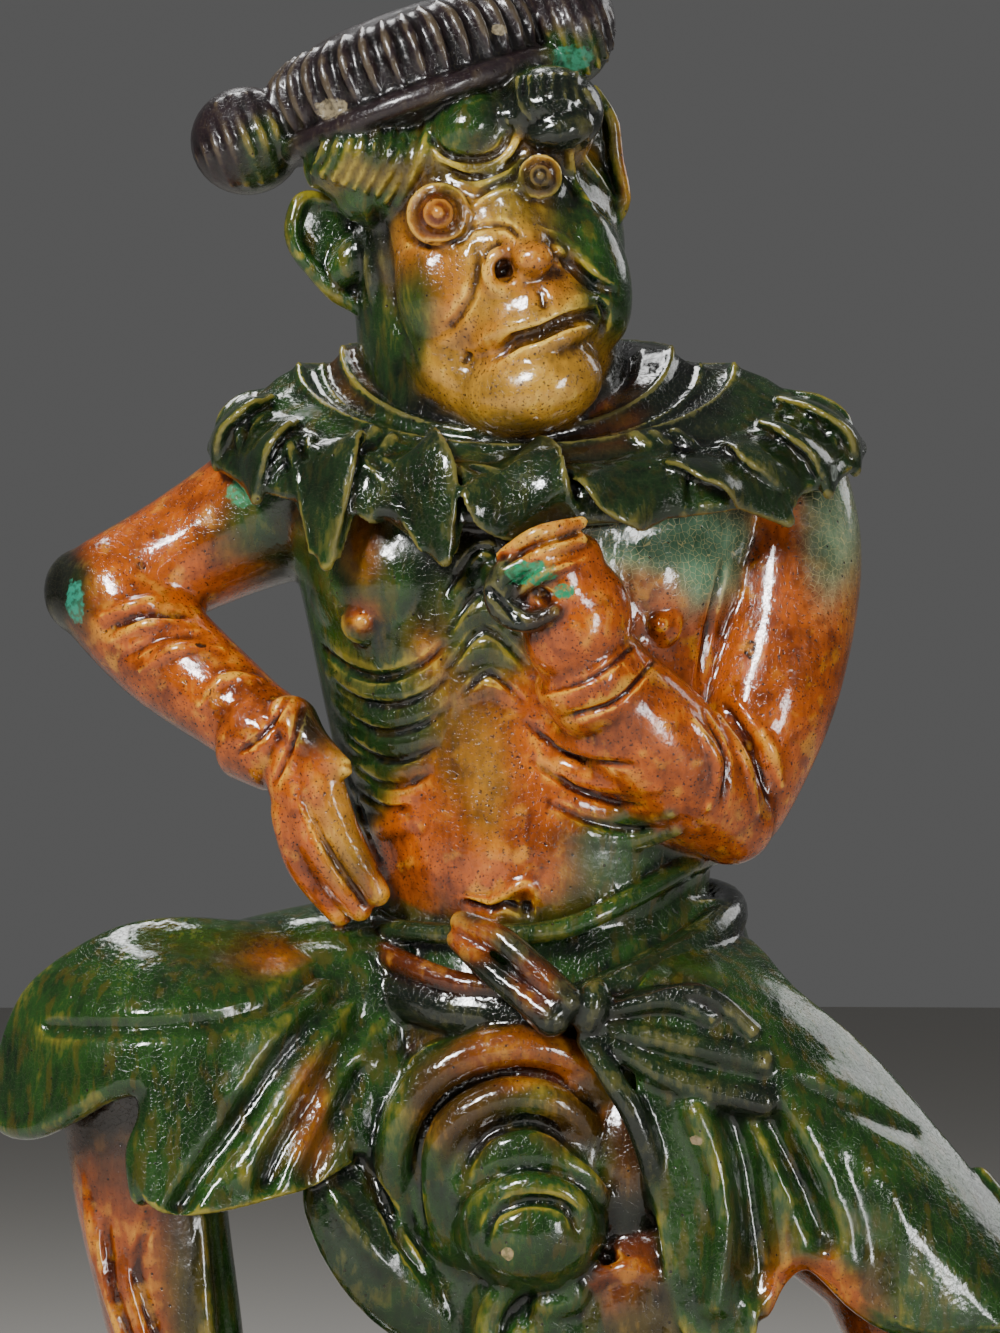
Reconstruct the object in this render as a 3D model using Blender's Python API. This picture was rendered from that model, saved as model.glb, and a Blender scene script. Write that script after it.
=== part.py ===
"""Glazed ceramic ridge tile: a demon guardian in a feather cape, fired in one with its low saddle base.

The figure faces -Y, +Z is up, and the origin is the centre of the base's underside. The clay is put
together as a potter does it: lumps, coils and sheets are laid on each other and then smoothed into one.
"""

import math

import bmesh
import bpy
from mathutils import Euler, Matrix, Vector
from mathutils.bvhtree import BVHTree
from mathutils.geometry import delaunay_2d_cdt

# Driving dimensions, in metres
FIGURE_HEIGHT = 0.640
BASE_LENGTH = 0.450
BASE_WIDTH = 0.200
BASE_HEIGHT = 0.046
BASE_LIP = 0.014
BASE_EDGE_ROUND = 0.003
FOOT_SINK = 0.008
CLAY_GRAIN = 0.0026
SMOOTHING_PASSES = 3
TRIANGLE_BUDGET = 9200

# The figure is drawn on a grid of this many units from sole to hat, so its forms are shares of its height
DRAWN_HEIGHT = 640.0
UNIT = FIGURE_HEIGHT / DRAWN_HEIGHT

GLAZE_GREEN = (0.045, 0.13, 0.05, 1.0)

LEFT_TO_RIGHT = Vector((1, 0, 0))
UPWARD = Vector((0, 0, 1))
INWARD = Vector((0, 1, 0))
COIL_SIDES = 20
COIL_STEPS = 5
FAR_OFF = 500.0


def spline(points, steps, closed=False):
    """Catmull-Rom through tuples of any length, with the given steps to each span."""
    count = len(points)
    spans = count if closed else count - 1
    made = []
    for i in range(spans):
        if closed:
            a, b, c, d = (points[(i + k) % count] for k in (-1, 0, 1, 2))
        else:
            a, b, c, d = (points[min(max(i + k, 0), count - 1)] for k in (-1, 0, 1, 2))
        for step in range(steps):
            t = step / steps
            made.append(
                tuple(
                    0.5 * (2 * q + (r - p) * t + (2 * p - 5 * q + 4 * r - s) * t * t + (3 * q - p - 3 * r + s) * t**3)
                    for p, q, r, s in zip(a, b, c, d)
                )
            )
    if not closed:
        made.append(tuple(points[-1]))
    return made


def swell(distance, reach):
    """1 at no distance, falling smoothly to 0 at reach."""
    share = min(abs(distance) / reach, 1.0)
    return (1 - share * share) ** 2


def distance_to(line, x, z):
    """How far (x, z) is from a line of (across, up) points."""
    point = Vector((x, z))
    nearest = FAR_OFF
    for a, b in zip(line, line[1:]):
        start, span = Vector(a), Vector(b) - Vector(a)
        share = min(max((point - start).dot(span) / span.length_squared, 0.0), 1.0)
        nearest = min(nearest, (point - start - span * share).length)
    return nearest


def folds(lines, x, z):
    """How far a sheet is pressed in at (x, z) by folds: each a (line, reach, depth), negative depth raised."""
    return sum(depth * swell(distance_to(line, x, z), reach) for line, reach, depth in lines)


class Clay:
    """Closed shells of clay in figure units, gathered as one mesh."""

    def __init__(self):
        self.points = []
        self.faces = []
        self.place = Matrix.Identity(4)
        self.skin = None

    def add(self, points, faces):
        start = len(self.points)
        self.points += [self.place @ Vector(p) for p in points]
        self.faces += [[start + i for i in face] for face in faces]

    def settle(self):
        """Takes the clay so far as the surface that touch() and front() find."""
        self.skin = BVHTree.FromPolygons(self.points, self.faces)

    def touch(self, start, toward):
        """Where a line from start first meets the settled clay."""
        hit = self.skin.ray_cast(self.place @ Vector(start), self.place.to_3x3() @ Vector(toward))[0]
        if hit is None:
            raise ValueError(f"nothing to touch from {start} toward {toward}")
        return self.place.inverted() @ hit

    def front(self, across, up, depth=0.0):
        """The point of the settled clay seen at (across, up) from the front, pushed in by depth."""
        hit = self.touch((across, -FAR_OFF, up), INWARD)
        return (hit.x, hit.y + depth, hit.z)

    def lump(self, centre, radii, lean=(0, 0, 0)):
        """An ellipsoid. lean is its turn about X, Y and Z in degrees."""
        turn = Euler([math.radians(a) for a in lean]).to_matrix()
        rings, sides = 14, 24
        points = [Vector((0, 0, 1))]
        for i in range(1, rings):
            polar = math.pi * i / rings
            for k in range(sides):
                around = math.tau * k / sides
                flat = math.sin(polar)
                points.append(Vector((flat * math.cos(around), flat * math.sin(around), math.cos(polar))))
        points.append(Vector((0, 0, -1)))
        last = len(points) - 1
        faces = []
        for k in range(sides):
            after = (k + 1) % sides
            faces.append((0, 1 + k, 1 + after))
            for i in range(rings - 2):
                row = 1 + i * sides
                faces.append((row + k, row + sides + k, row + sides + after, row + after))
            row = 1 + (rings - 2) * sides
            faces.append((row + k, last, row + after))
        sized = [turn @ Vector(a * b for a, b in zip(p, radii)) + Vector(centre) for p in points]
        self.add(sized, faces)

    def coil(self, path, radii, across=None, closed=False, blunt=1.0):
        """A rolled coil along a smooth path. A radius is a number, or (across, deep) with across a direction."""
        pairs = [r if isinstance(r, tuple) else (r, r) for r in radii]
        rows = spline([tuple(p) + pair for p, pair in zip(path, pairs)], COIL_STEPS, closed)
        centres = [Vector(row[:3]) for row in rows]
        count = len(centres)
        tangents = []
        for i in range(count):
            ahead = centres[(i + 1) % count] if closed else centres[min(i + 1, count - 1)]
            behind = centres[i - 1] if closed else centres[max(i - 1, 0)]
            tangents.append((ahead - behind).normalized())
        side = Vector(across) if across else tangents[0].orthogonal()
        rings = []
        for centre, tangent, row in zip(centres, tangents, rows):
            hint = Vector(across) if across else side
            side = (hint - tangent * hint.dot(tangent)).normalized()
            rings.append((centre, side, tangent.cross(side), row[3], row[4]))
        if not closed:
            rings = self._end_cap(rings, tangents, 0, blunt) + rings + self._end_cap(rings, tangents, -1, blunt)
        points = []
        for centre, side, other, wide, deep in rings:
            for k in range(COIL_SIDES):
                angle = math.tau * k / COIL_SIDES
                points.append(centre + side * wide * math.cos(angle) + other * deep * math.sin(angle))
        faces = []
        rows_made = len(rings)
        for i in range(rows_made if closed else rows_made - 1):
            here, there = i * COIL_SIDES, (i + 1) % rows_made * COIL_SIDES
            for k in range(COIL_SIDES):
                after = (k + 1) % COIL_SIDES
                faces.append((here + k, here + after, there + after, there + k))
        if not closed:
            faces.append(tuple(reversed(range(COIL_SIDES))))
            faces.append(tuple((rows_made - 1) * COIL_SIDES + k for k in range(COIL_SIDES)))
        self.add(points, faces)

    def _end_cap(self, rings, tangents, end, blunt):
        """The shrinking rings that round off one end of a coil."""
        centre, side, other, wide, deep = rings[end]
        outward = tangents[end] * (1 if end else -1)
        cap = []
        for angle in (math.radians(a) for a in (28, 55, 80)):
            shrink = math.cos(angle)
            reach = min(wide, deep) * blunt * math.sin(angle)
            cap.append((centre + outward * reach, side, other, wide * shrink, deep * shrink))
        return cap if end else cap[::-1]

    def sheet(self, outline, depth, thickness, pitch=9.0):
        """A rolled-out sheet cut to an outline of (across, up) points, its middle at y = depth(across, up)."""
        edge = [Vector(p) for p in spline(outline, 3, closed=True)]
        count = len(edge)
        inner = self._fill(edge, pitch)
        made = delaunay_2d_cdt(edge + inner, [(i, (i + 1) % count) for i in range(count)], [], 1, 1e-4)
        flat, _, triangles, _, _, _ = made
        border = [p for p in range(len(flat)) if p < count]
        near = [Vector((p.x, depth(p.x, p.y) - thickness / 2, p.y)) for p in flat]
        far = [Vector((p.x, depth(p.x, p.y) + thickness / 2, p.y)) for p in flat]
        start = len(flat)
        faces = [tuple(t) for t in triangles]
        faces += [tuple(start + i for i in reversed(t)) for t in triangles]
        for i in range(len(border)):
            a, b = border[i], border[(i + 1) % len(border)]
            faces.append((b, a, start + a, start + b))
        shell = bmesh.new()
        corners = [shell.verts.new(p) for p in near + far]
        for face in faces:
            shell.faces.new([corners[i] for i in face])
        bmesh.ops.recalc_face_normals(shell, faces=shell.faces)
        shell.verts.index_update()
        self.add([v.co.copy() for v in shell.verts], [[v.index for v in f.verts] for f in shell.faces])
        shell.free()

    def _fill(self, edge, pitch):
        """Grid points inside the outline, clear of its edge."""
        lows = [min(p[i] for p in edge) for i in (0, 1)]
        highs = [max(p[i] for p in edge) for i in (0, 1)]
        inner = []
        for i in range(1, int((highs[0] - lows[0]) / pitch) + 1):
            for k in range(1, int((highs[1] - lows[1]) / pitch) + 1):
                point = Vector((lows[0] + i * pitch, lows[1] + k * pitch))
                if self._within(point, edge) and min((point - e).length for e in edge) > pitch * 0.5:
                    inner.append(point)
        return inner

    @staticmethod
    def _within(point, edge):
        inside = False
        for a, b in zip(edge, edge[1:] + edge[:1]):
            if (a.y > point.y) != (b.y > point.y):
                if point.x < a.x + (point.y - a.y) / (b.y - a.y) * (b.x - a.x):
                    inside = not inside
        return inside

    def wreath(self, section, steps=72):
        """A closed ring whose section at each angle, in radians from +X, is a closed row of (x, y, z) points."""
        rows = [section(math.tau * i / steps) for i in range(steps)]
        across = len(rows[0])
        points = [p for row in rows for p in row]
        faces = []
        for i in range(steps):
            here, there = i * across, (i + 1) % steps * across
            for k in range(across):
                after = (k + 1) % across
                faces.append((here + k, there + k, there + after, here + after))
        self.add(points, faces)


def turned(centre, lean):
    """A frame at centre, leaned about X, Y and Z in degrees."""
    return Matrix.Translation(centre) @ Euler([math.radians(a) for a in lean]).to_matrix().to_4x4()


def torso(clay):
    """Chest, belly and hips, as sections from the shoulders down: height, centre, half width, half depth."""
    sections = [
        (458, 0, 2, 70, 46),
        (444, 2, 1, 98, 56),
        (426, 3, -1, 101, 60),
        (408, 3, -1, 95, 61),
        (386, 3, -3, 89, 60),
        (354, 4, -4, 83, 58),
        (322, 6, -6, 77, 56),
        (294, 8, -8, 71, 55),
        (274, 9, -5, 68, 53),
        (254, 8, 0, 75, 55),
        (230, 8, 2, 80, 56),
        (204, 8, 3, 78, 53),
        (182, 8, 4, 62, 44),
    ]
    path = [(x, y, z) for z, x, y, wide, deep in sections]
    radii = [(wide, deep) for z, x, y, wide, deep in sections]
    clay.coil(path, radii, across=LEFT_TO_RIGHT, blunt=0.4)
    clay.coil([(-5, 6, 440), (-10, 5, 480), (-18, 4, 520)], [58, 55, 50])
    for across in (-44, 48):
        clay.lump((across, -11, 404), (43, 46, 40))


def chest_details(clay):
    """Windpipe rings, ribs, nipples and the navel fold, laid on the settled torso."""
    for up, half in ((414, 11), (405, 14), (394, 16), (380, 18), (366, 18)):
        arch = [(-13 + half * s, up - half * 0.8 * abs(s) ** 2.2) for s in (-1, -0.6, 0, 0.6, 1)]
        clay.coil([clay.front(x, z, 0.2) for x, z in arch], [1.6, 2.8, 3.2, 2.8, 1.6])
    for k in range(6):
        up = 360 - 11.0 * k
        rib = [(-76 + 2 * k, up), (-66 + k, up - 7), (-52, up - 9.5), (-38 - k, up - 6), (-29 - 2 * k, up + 2)]
        clay.coil([clay.front(x, z, 0.2) for x, z in rib], [2.2, 3.8, 4.4, 3.8, 1.8])
    for rib in (
        ((2, 350), (14, 340), (30, 334), (48, 332)),
        ((4, 337), (18, 326), (36, 319), (54, 318)),
        ((6, 321), (22, 313), (42, 309), (60, 312)),
        ((8, 306), (24, 301), (44, 300), (62, 305)),
    ):
        clay.coil([clay.front(x, z, 0.2) for x, z in rib], [1.8, 3.6, 4.2, 2.6])
    for across, up in ((-63, 385), (56, 384)):
        clay.lump(clay.front(across, up, 1.5), (10, 4.5, 10))
        clay.lump(clay.front(across, up, -1), (5, 4.5, 5))
    fold = [clay.front(x, z, 0.2) for x, z in ((-24, 276), (-12, 274), (-4, 278), (3, 280), (8, 274))]
    clay.coil(fold, [1.5, 3.0, 3.4, 3.0, 1.6])


def right_arm(clay):
    """The arm at -X: elbow out, hand on the hip."""
    upper = [(-84, 10, 440), (-112, 12, 426), (-140, 12, 411), (-162, 10, 398)]
    clay.coil(upper, [36, 29, 25, 25])
    fore = [(-164, 8, 397), (-152, 0, 382), (-136, -10, 367), (-102, -30, 341)]
    clay.coil(fore, [25, 23.5, 22, 17.5])
    clay.lump((-178, 12, 398), (16, 17, 18))
    clay.coil([(-106, -28, 341), (-95, -36, 334)], [21, 18.5], blunt=0.45)
    clay.lump((-86, -44, 320), (15, 13, 26), lean=(0, -20, 0))
    for finger in (((-82, 326), (-72, 302), (-58, 277)), ((-91, 314), (-82, 290), (-66, 271))):
        clay.coil([(x, -56 - 0.02 * (320 - z), z) for x, z in finger], [7.2, 6.8, 5.6])
    clay.coil([(-86, -46, 348), (-77, -56, 338), (-72, -60, 326)], [8.5, 7, 5.5])
    for shift in (0, 10, 20):
        crease = [(-170 + shift, -12 - 0.3 * shift, 396 - 0.9 * shift), (-148 + shift, -20 - 0.35 * shift, 395 - 0.8 * shift)]
        clay.coil(crease, [3, 4])


def left_arm(clay):
    """The arm at +X: bent up, with the fist before the chest."""
    upper = [(100, 6, 446), (108, 0, 418), (107, -8, 388), (99, -18, 352), (90, -26, 318), (85, -32, 305)]
    clay.coil(upper, [32, 30.5, 29, 27.5, 21, 17])
    fore = [(84, -38, 306), (68, -50, 321), (50, -62, 341), (33, -72, 361)]
    clay.coil(fore, [18.5, 25, 26, 21])
    clay.lump((96, -52, 336), (13, 14, 24))
    clay.coil([(33, -72, 358), (25, -77, 368)], [23.5, 23], blunt=0.45)
    clay.lump((22, -84, 385), (22, 19, 26), lean=(0, 16, 0))
    clay.coil([(16, -86, 396), (13, -88, 412)], [(21, 19), (19, 16)], across=(0.95, 0, 0.3), blunt=0.5)
    for k in range(3):
        knuckle = [(-8 + 3 * k, -100, 411 - 8 * k), (6 + 2 * k, -107, 419 - 7 * k), (24, -101, 424 - 7 * k)]
        clay.coil(knuckle, [2.6, 4, 3])
    clay.coil([(-6, -98, 392), (-7, -104, 402), (3, -110, 407), (12, -110, 401), (13, -106, 393)], [7, 7, 6, 5, 4])
    for line in (((68, 346), (77, 330), (74, 312)), ((78, 348), (88, 330), (94, 310)), ((88, 352), (99, 336), (104, 320))):
        clay.coil([(x, -74 + 0.62 * max(x - 68, 0), z) for x, z in line], [2.5, 4, 2.5])


# How the head leans in the picture plane, top toward -X
HEAD_LEAN = -20
HAT = turned((-41, -2, 597), (0, HEAD_LEAN, 0))


def head(clay):
    """Skull, face and ears; the face looks a little to +X."""
    clay.lump((-13, 2, 542), (55, 58, 62), lean=(0, HEAD_LEAN, 0))
    clay.lump((-14, -28, 574), (46, 26, 28), lean=(0, HEAD_LEAN, 0))
    clay.lump((-5, -24, 520), (45, 42, 57), lean=(0, -12, 0))
    clay.lump((-31, -38, 519), (19, 21, 31), lean=(0, -8, 0))
    clay.lump((28, -34, 525), (16, 24, 31), lean=(0, -14, 0))
    clay.lump((5, -50, 479), (29, 22, 19), lean=(0, -14, 0))
    clay.lump((5, -56, 506), (24, 15, 20), lean=(0, -20, 0))
    clay.coil([(-12, -53, 558), (-5, -61, 546), (2, -70, 536)], [8, 8, 9])
    for centre, size in (((-33, 0, 547), 13), ((8, 0, 562), 10)):
        clay.lump((centre[0], -52, centre[2]), (size * 1.25, 12, size * 1.2))
    clay.settle()
    nose(clay)
    eyes(clay)
    mouth(clay)
    ears(clay)


def nose(clay):
    """A snub nose, with the ringed nostril that faces the viewer."""
    clay.lump(clay.front(6, 529, 1), (9, 8, 8))
    x, y, z = clay.front(-5, 524, 2)
    ring = [(x + 8 * math.cos(a), y - 3, z + 8.5 * math.sin(a)) for a in (math.tau * k / 8 for k in range(8))]
    clay.coil(ring, [3.6] * 8, closed=True)
    clay.lump(clay.front(14, 531, 1), (6, 7, 6.5))


def eyes(clay):
    """Bulging eyeballs, each in a raised round socket."""
    for x, z, socket, ball in ((-33, 547, 12, 9), (8, 562, 9, 7)):
        centre = clay.front(x, z)
        ring = [
            (x + socket * math.cos(a), centre[1] - 0.5 + 2.5 * abs(math.cos(a)), z + socket * math.sin(a))
            for a in (math.tau * k / 10 for k in range(10))
        ]
        clay.coil(ring, [2.8] * 10, closed=True)
        clay.lump((x, centre[1] - 2, z), (ball, ball, ball))
        clay.lump((x, centre[1] - 2 - ball * 0.95, z), (ball * 0.45, 1.8, ball * 0.45))


def mouth(clay):
    """A sour mouth, open a little at +X, over a round chin."""
    upper = ((-14, 489), (-7, 499), (4, 505), (14, 508), (24, 514), (32, 511), (35, 504))
    clay.coil([clay.front(x, z, 1) for x, z in upper], [2.5, 3.8, 4.2, 4.2, 4.0, 3.2, 2.4])
    lower = ((-9, 486), (1, 491), (11, 494.5), (21, 498), (30, 500))
    clay.coil([clay.front(x, z, 0.5) for x, z in lower], [2.5, 4.2, 4.8, 4.4, 2.8])
    clay.lump(clay.front(10, 478, 6), (19, 10, 10), lean=(0, HEAD_LEAN, 0))
    fold = ((-14, 522), (-19, 512), (-19, 500), (-23, 489))
    clay.coil([clay.front(x - 4, z, 0.6) for x, z in fold], [2, 3.4, 3.6, 2])


def ears(clay):
    """The pointed ear at -X, and the edge of the other beyond the temple."""
    near = [
        (-87, 557), (-93, 546), (-91, 537), (-85, 528), (-76, 518), (-67, 512), (-58, 500), (-51, 503),
        (-50, 520), (-54, 540), (-66, 550),
    ]
    clay.sheet(near, lambda x, z: -10 + 0.25 * (x + 90), 9)
    rim = [(-62, 552), (-78, 556), (-88, 556), (-92, 545), (-90, 536), (-84, 528), (-75, 518), (-65, 512), (-56, 502)]
    clay.coil([(x, -15 + 0.25 * (x + 90), z) for x, z in rim], [3, 4, 4.5, 4.5, 4.5, 4.5, 4.5, 4, 3.5])
    clay.lump((-68, -10, 532), (9, 8, 13), lean=(0, 35, 0))
    far = [(28, 602), (35, 592), (38, 576), (41, 558), (38, 545), (30, 546), (24, 564), (22, 590)]
    clay.sheet(far, lambda x, z: -8 + 0.3 * (x - 28), 9)


def brows(clay):
    """The bushy brow tufts that climb to the hat, and the furrowed bump between them."""
    clay.lump((-60, -30, 572), (25, 20, 19), lean=(0, -14, 0))
    clay.lump((13, -42, 590), (21, 17, 18), lean=(0, 12, 0))
    clay.lump((-20, -38, 582), (20, 21, 16), lean=(0, HEAD_LEAN, 0))
    clay.lump((17, -54, 580), (13, 9, 8.5))
    clay.settle()
    for k in range(8):
        share = k / 7
        top = (-80 + 42 * share, 578 + 11 * share)
        foot = (-80 + 38 * share, 560 + 5 * share - 7 * math.sin(math.pi * share))
        middle = ((top[0] + foot[0]) / 2 + 3, (top[1] + foot[1]) / 2)
        clay.coil([clay.front(x, z, 0.2) for x, z in (top, middle, foot)], [2.2, 3.0, 2.2])
    for k in range(6):
        share = k / 5
        top = (-6 + 28 * share, 596 + 4 * math.sin(math.pi * share))
        foot = (4 + 24 * share, 584 + 5 * share)
        clay.coil([clay.front(x, z, 0.2) for x, z in (top, foot)], [2.0, 3.0])
    for furrow in (
        ((-37, 576), (-30, 569), (-18, 566), (-7, 570), (0, 580)),
        ((-31, 563), (-19, 559), (-6, 562), (3, 571)),
    ):
        clay.coil([clay.front(x, z, 0.2) for x, z in furrow], [2.6] * len(furrow))


def hat(clay):
    """The fluted cap: a smooth rim band, a ribbed crown and a fluted puff at each side."""
    clay.place = HAT
    profile = [(-10, 50), (-7, 55), (4, 56), (14, 56), (23, 54), (30, 48), (33, 36)]
    clay.coil([(0, 0, z) for z, r in profile], [(r, r * 0.94) for z, r in profile], across=LEFT_TO_RIGHT, blunt=0.1)
    rim = [(57 * math.cos(a), 53 * math.sin(a), -3) for a in (math.tau * k / 16 for k in range(16))]
    clay.coil(rim, [5.5] * 16, closed=True)
    flutes = 36
    for k in range(flutes):
        angle = math.tau * (k + 0.5) / flutes
        c, s = math.cos(angle), math.sin(angle) * 0.94
        clay.coil([(r * c, r * s, z) for r, z in ((56, 4), (57.5, 14), (55, 24), (46, 31))], [1.8, 3.0, 3.2, 2.0])
    for centre, radii, lean in (((-71, -2, 8), (23, 19, 22), (0, 20, 0)), ((68, -2, 6), (18, 18, 24), (0, 24, 0))):
        clay.lump(centre, radii, lean=lean)
        for k in range(7):
            angle = math.radians(-66 + 22 * k)
            bow = math.cos(angle)
            x = centre[0] + radii[0] * 0.92 * math.sin(angle)
            side = Vector((x, centre[1] - radii[1] * bow * 0.55, centre[2]))
            rise = Vector((0, 0, radii[2] * bow * 0.84))
            middle = Vector((x, centre[1] - radii[1] * bow - 0.5, centre[2]))
            clay.coil([side + rise, middle, side - rise], [1.6, 2.8, 1.6])
    clay.place = Matrix.Identity(4)


def collar_point(angle, share, lift=0.0):
    """A point on the cape from its neck (share 0) to its hem (share 1), at an angle from +X, raised by lift."""
    c, s = math.cos(angle), math.sin(angle)
    neck = Vector((-8 + 51 * c, 3 + 48 * s, 490 + 8 * max(s, 0) + 36 * min(s, 0)))
    hem = Vector((7 + 134 * c, 1 + 78 * s, 460 - 12 * max(s, 0) + 30 * min(s, 0)))
    fall = share**1.7
    return (neck.x + (hem.x - neck.x) * share, neck.y + (hem.y - neck.y) * share, neck.z + (hem.z - neck.z) * fall + lift)


def collar(clay):
    """The feather cape: two rolls round the neck over a ring of pointed leaves."""
    rolls = ((0.0, 2), (0.07, 7), (0.18, 7.5), (0.28, 3), (0.36, 2.5), (0.44, 6.5), (0.53, 6.5), (0.62, 2.5), (0.8, 2), (0.97, 0))

    def section(angle):
        top = [collar_point(angle, share, lift) for share, lift in rolls]
        under = [collar_point(angle, share, drop) for share, drop in ((0.97, -8), (0.6, -22), (0.0, -30))]
        return top + under

    clay.wreath(section)
    leaves = (
        (186, 1.05), (208, 1.08), (231, 1.2), (249, 1.2), (268, 1.05), (288, 1.06), (308, 1.14), (329, 1.12), (352, 1.05),
    )
    behind = [(angle, 1.05) for angle in range(15, 175, 22)]
    for degrees, reach in [*leaves, *behind]:
        angle = math.radians(degrees)
        width = 14 + 8 * abs(math.sin(angle))
        skew = math.radians(-7 if math.cos(angle) > 0 else 7)
        stations = ((0.56, 0.0, 2.5), (0.76, 0.3, 4.5), (0.93, 0.8, 3.5), (reach + 0.03, 1.3, -1))
        path = [collar_point(angle + skew * turn, share, lift) for share, turn, lift in stations]
        tangent = Vector((-math.sin(angle), math.cos(angle), 0))
        clay.coil(path, [(width * 0.6, 3), (width, 4.2), (width * 0.74, 4), (2.5, 2.0)], across=tangent, blunt=1.2)
        for vein in range(4):
            share = 0.66 + 0.085 * vein
            foot = collar_point(angle + skew * 0.5 + math.radians(0.5), share, 7)
            tip = collar_point(angle + skew * 0.6 + math.radians(6), share + 0.07, 5.5)
            clay.coil([foot, tip], [1.8, 3.0])


def sash(clay):
    """Waistband, belt, knot, bow loop and the pleated sash ends."""
    band = [
        (-68, 0, 268), (-55, -38, 263), (-20, -61, 261), (15, -65, 263), (42, -58, 274), (66, -36, 287),
        (80, 0, 293), (56, 38, 292), (6, 50, 288), (-42, 38, 278),
    ]
    clay.coil(band, [4.5] * len(band), closed=True)
    belt = [
        (-74, 0, 256), (-64, -30, 245), (-45, -53, 236), (-20, -65, 230), (10, -69, 230), (35, -67, 238),
        (60, -54, 250), (79, -30, 261), (84, 4, 270), (60, 40, 274), (6, 54, 275), (-46, 40, 268),
    ]
    clay.coil(belt, [8.5] * len(belt), closed=True)
    clay.coil([(-62, -32, 258), (-48, -52, 250), (-25, -65, 242), (0, -71, 240)], [4, 5, 5, 4])
    clay.lump((28, -82, 233), (8, 9, 12), lean=(0, 15, 0))
    clay.coil([(-23, -68, 266), (-8, -78, 260), (6, -84, 248), (18, -88, 236)], [5, 5.5, 6, 7])
    clay.coil([(-25, -68, 259), (-13, -78, 248), (0, -84, 238), (12, -88, 229)], [4.5, 5, 6, 8])
    fan = [
        (32, 234), (55, 241), (76, 238), (91, 226), (98, 212), (101, 198), (98, 190), (80, 192), (60, 199), (42, 210), (30, 222),
    ]
    clay.sheet(fan, lambda x, z: -76, 9)
    for pleat, radii in (
        (((33, 231), (58, 236), (76, 228)), (3.5, 4.5, 3)),
        (((36, 232), (70, 239), (92, 223)), (3, 4, 3.5)),
        (((32, 225), (62, 219), (97, 211)), (4, 5.5, 5.5)),
        (((32, 221), (60, 205), (98, 195)), (4, 6, 6.5)),
    ):
        clay.coil([(x, -82, z) for x, z in pleat], radii, blunt=0.5)
    tail = [(26, -82, 220), (38, -88, 204), (47, -90, 190), (53, -88, 170), (56, -82, 150)]
    clay.coil(tail, [5, 6.5, 7, 6.5, 5])


def leg_right(clay):
    """The leg at -X: thigh raised to the side, shin upright in its trouser, and the boot."""
    clay.coil([(-40, -2, 230), (-95, -20, 226), (-145, -34, 218)], [50, 43, 38])
    shin = [(-152, -36, 214), (-150, -36, 180), (-147, -36, 150), (-138, -32, 100), (-133, -26, 66)]
    clay.coil(shin, [35, 32, 30, 27, 25])
    for line in (((-172, 172), (-168, 140), (-157, 98)), ((-150, 156), (-157, 130), (-147, 92)), ((-128, 150), (-126, 110), (-122, 80))):
        clay.coil([(x, -62 + 0.03 * (z - 90) + 0.25 * abs(x + 143), z) for x, z in line], [3, 5, 3])
    boot(clay, (-132, -22), (-148, -68))


def leg_left(clay):
    """The leg at +X: stretched out to the side, and the boot."""
    clay.coil([(48, -2, 226), (105, -18, 180), (148, -28, 138)], [48, 44, 36])
    clay.coil([(146, -28, 142), (158, -22, 104), (165, -14, 66)], [34, 29, 25])
    boot(clay, (168, -10), (196, -52))


def crown_height(depth):
    """The saddle's height, in figure units below the sole level, at a depth from its ridge line."""
    half = BASE_WIDTH / 2 / UNIT
    rise = (BASE_HEIGHT - BASE_LIP) / UNIT
    return rise * (math.sqrt(max(1 - (depth / half) ** 2, 0)) - 1)


def footing(depth):
    """How low clay reaches at a depth so that it is joined to the saddle."""
    return crown_height(depth) - FOOT_SINK / UNIT


def boot(clay, heel, toe):
    """A boot from ankle to toe, whose sole goes down into the saddle under it."""
    low = [footing(y) for y in (heel[1], (heel[1] + toe[1]) / 2, toe[1])]
    middle = ((heel[0] + toe[0]) / 2, (heel[1] + toe[1]) / 2)
    clay.coil([(heel[0], heel[1], 74), (heel[0], heel[1], 40), (heel[0], heel[1], 18)], [25, 23, 23])
    top = [(heel[0] + 24 * math.cos(a), heel[1] + 24 * math.sin(a), 70) for a in (math.tau * k / 10 for k in range(10))]
    clay.coil(top, [5] * 10, closed=True)
    clay.coil([(*heel, low[0] + 22), (*middle, low[1] + 21), (*toe, low[2] + 17)], [24, 22, 16])
    clay.coil([(*heel, low[0] + 8), (*middle, low[1] + 8), (*toe, low[2] + 8)], [(25, 9), (24, 9), (17, 9)], across=(1, 0, 0))
    clay.coil([(*toe, low[2] + 18), (toe[0] + (toe[0] - heel[0]) * 0.22, toe[1] - 12, low[2] + 28)], [13, 7])


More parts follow.
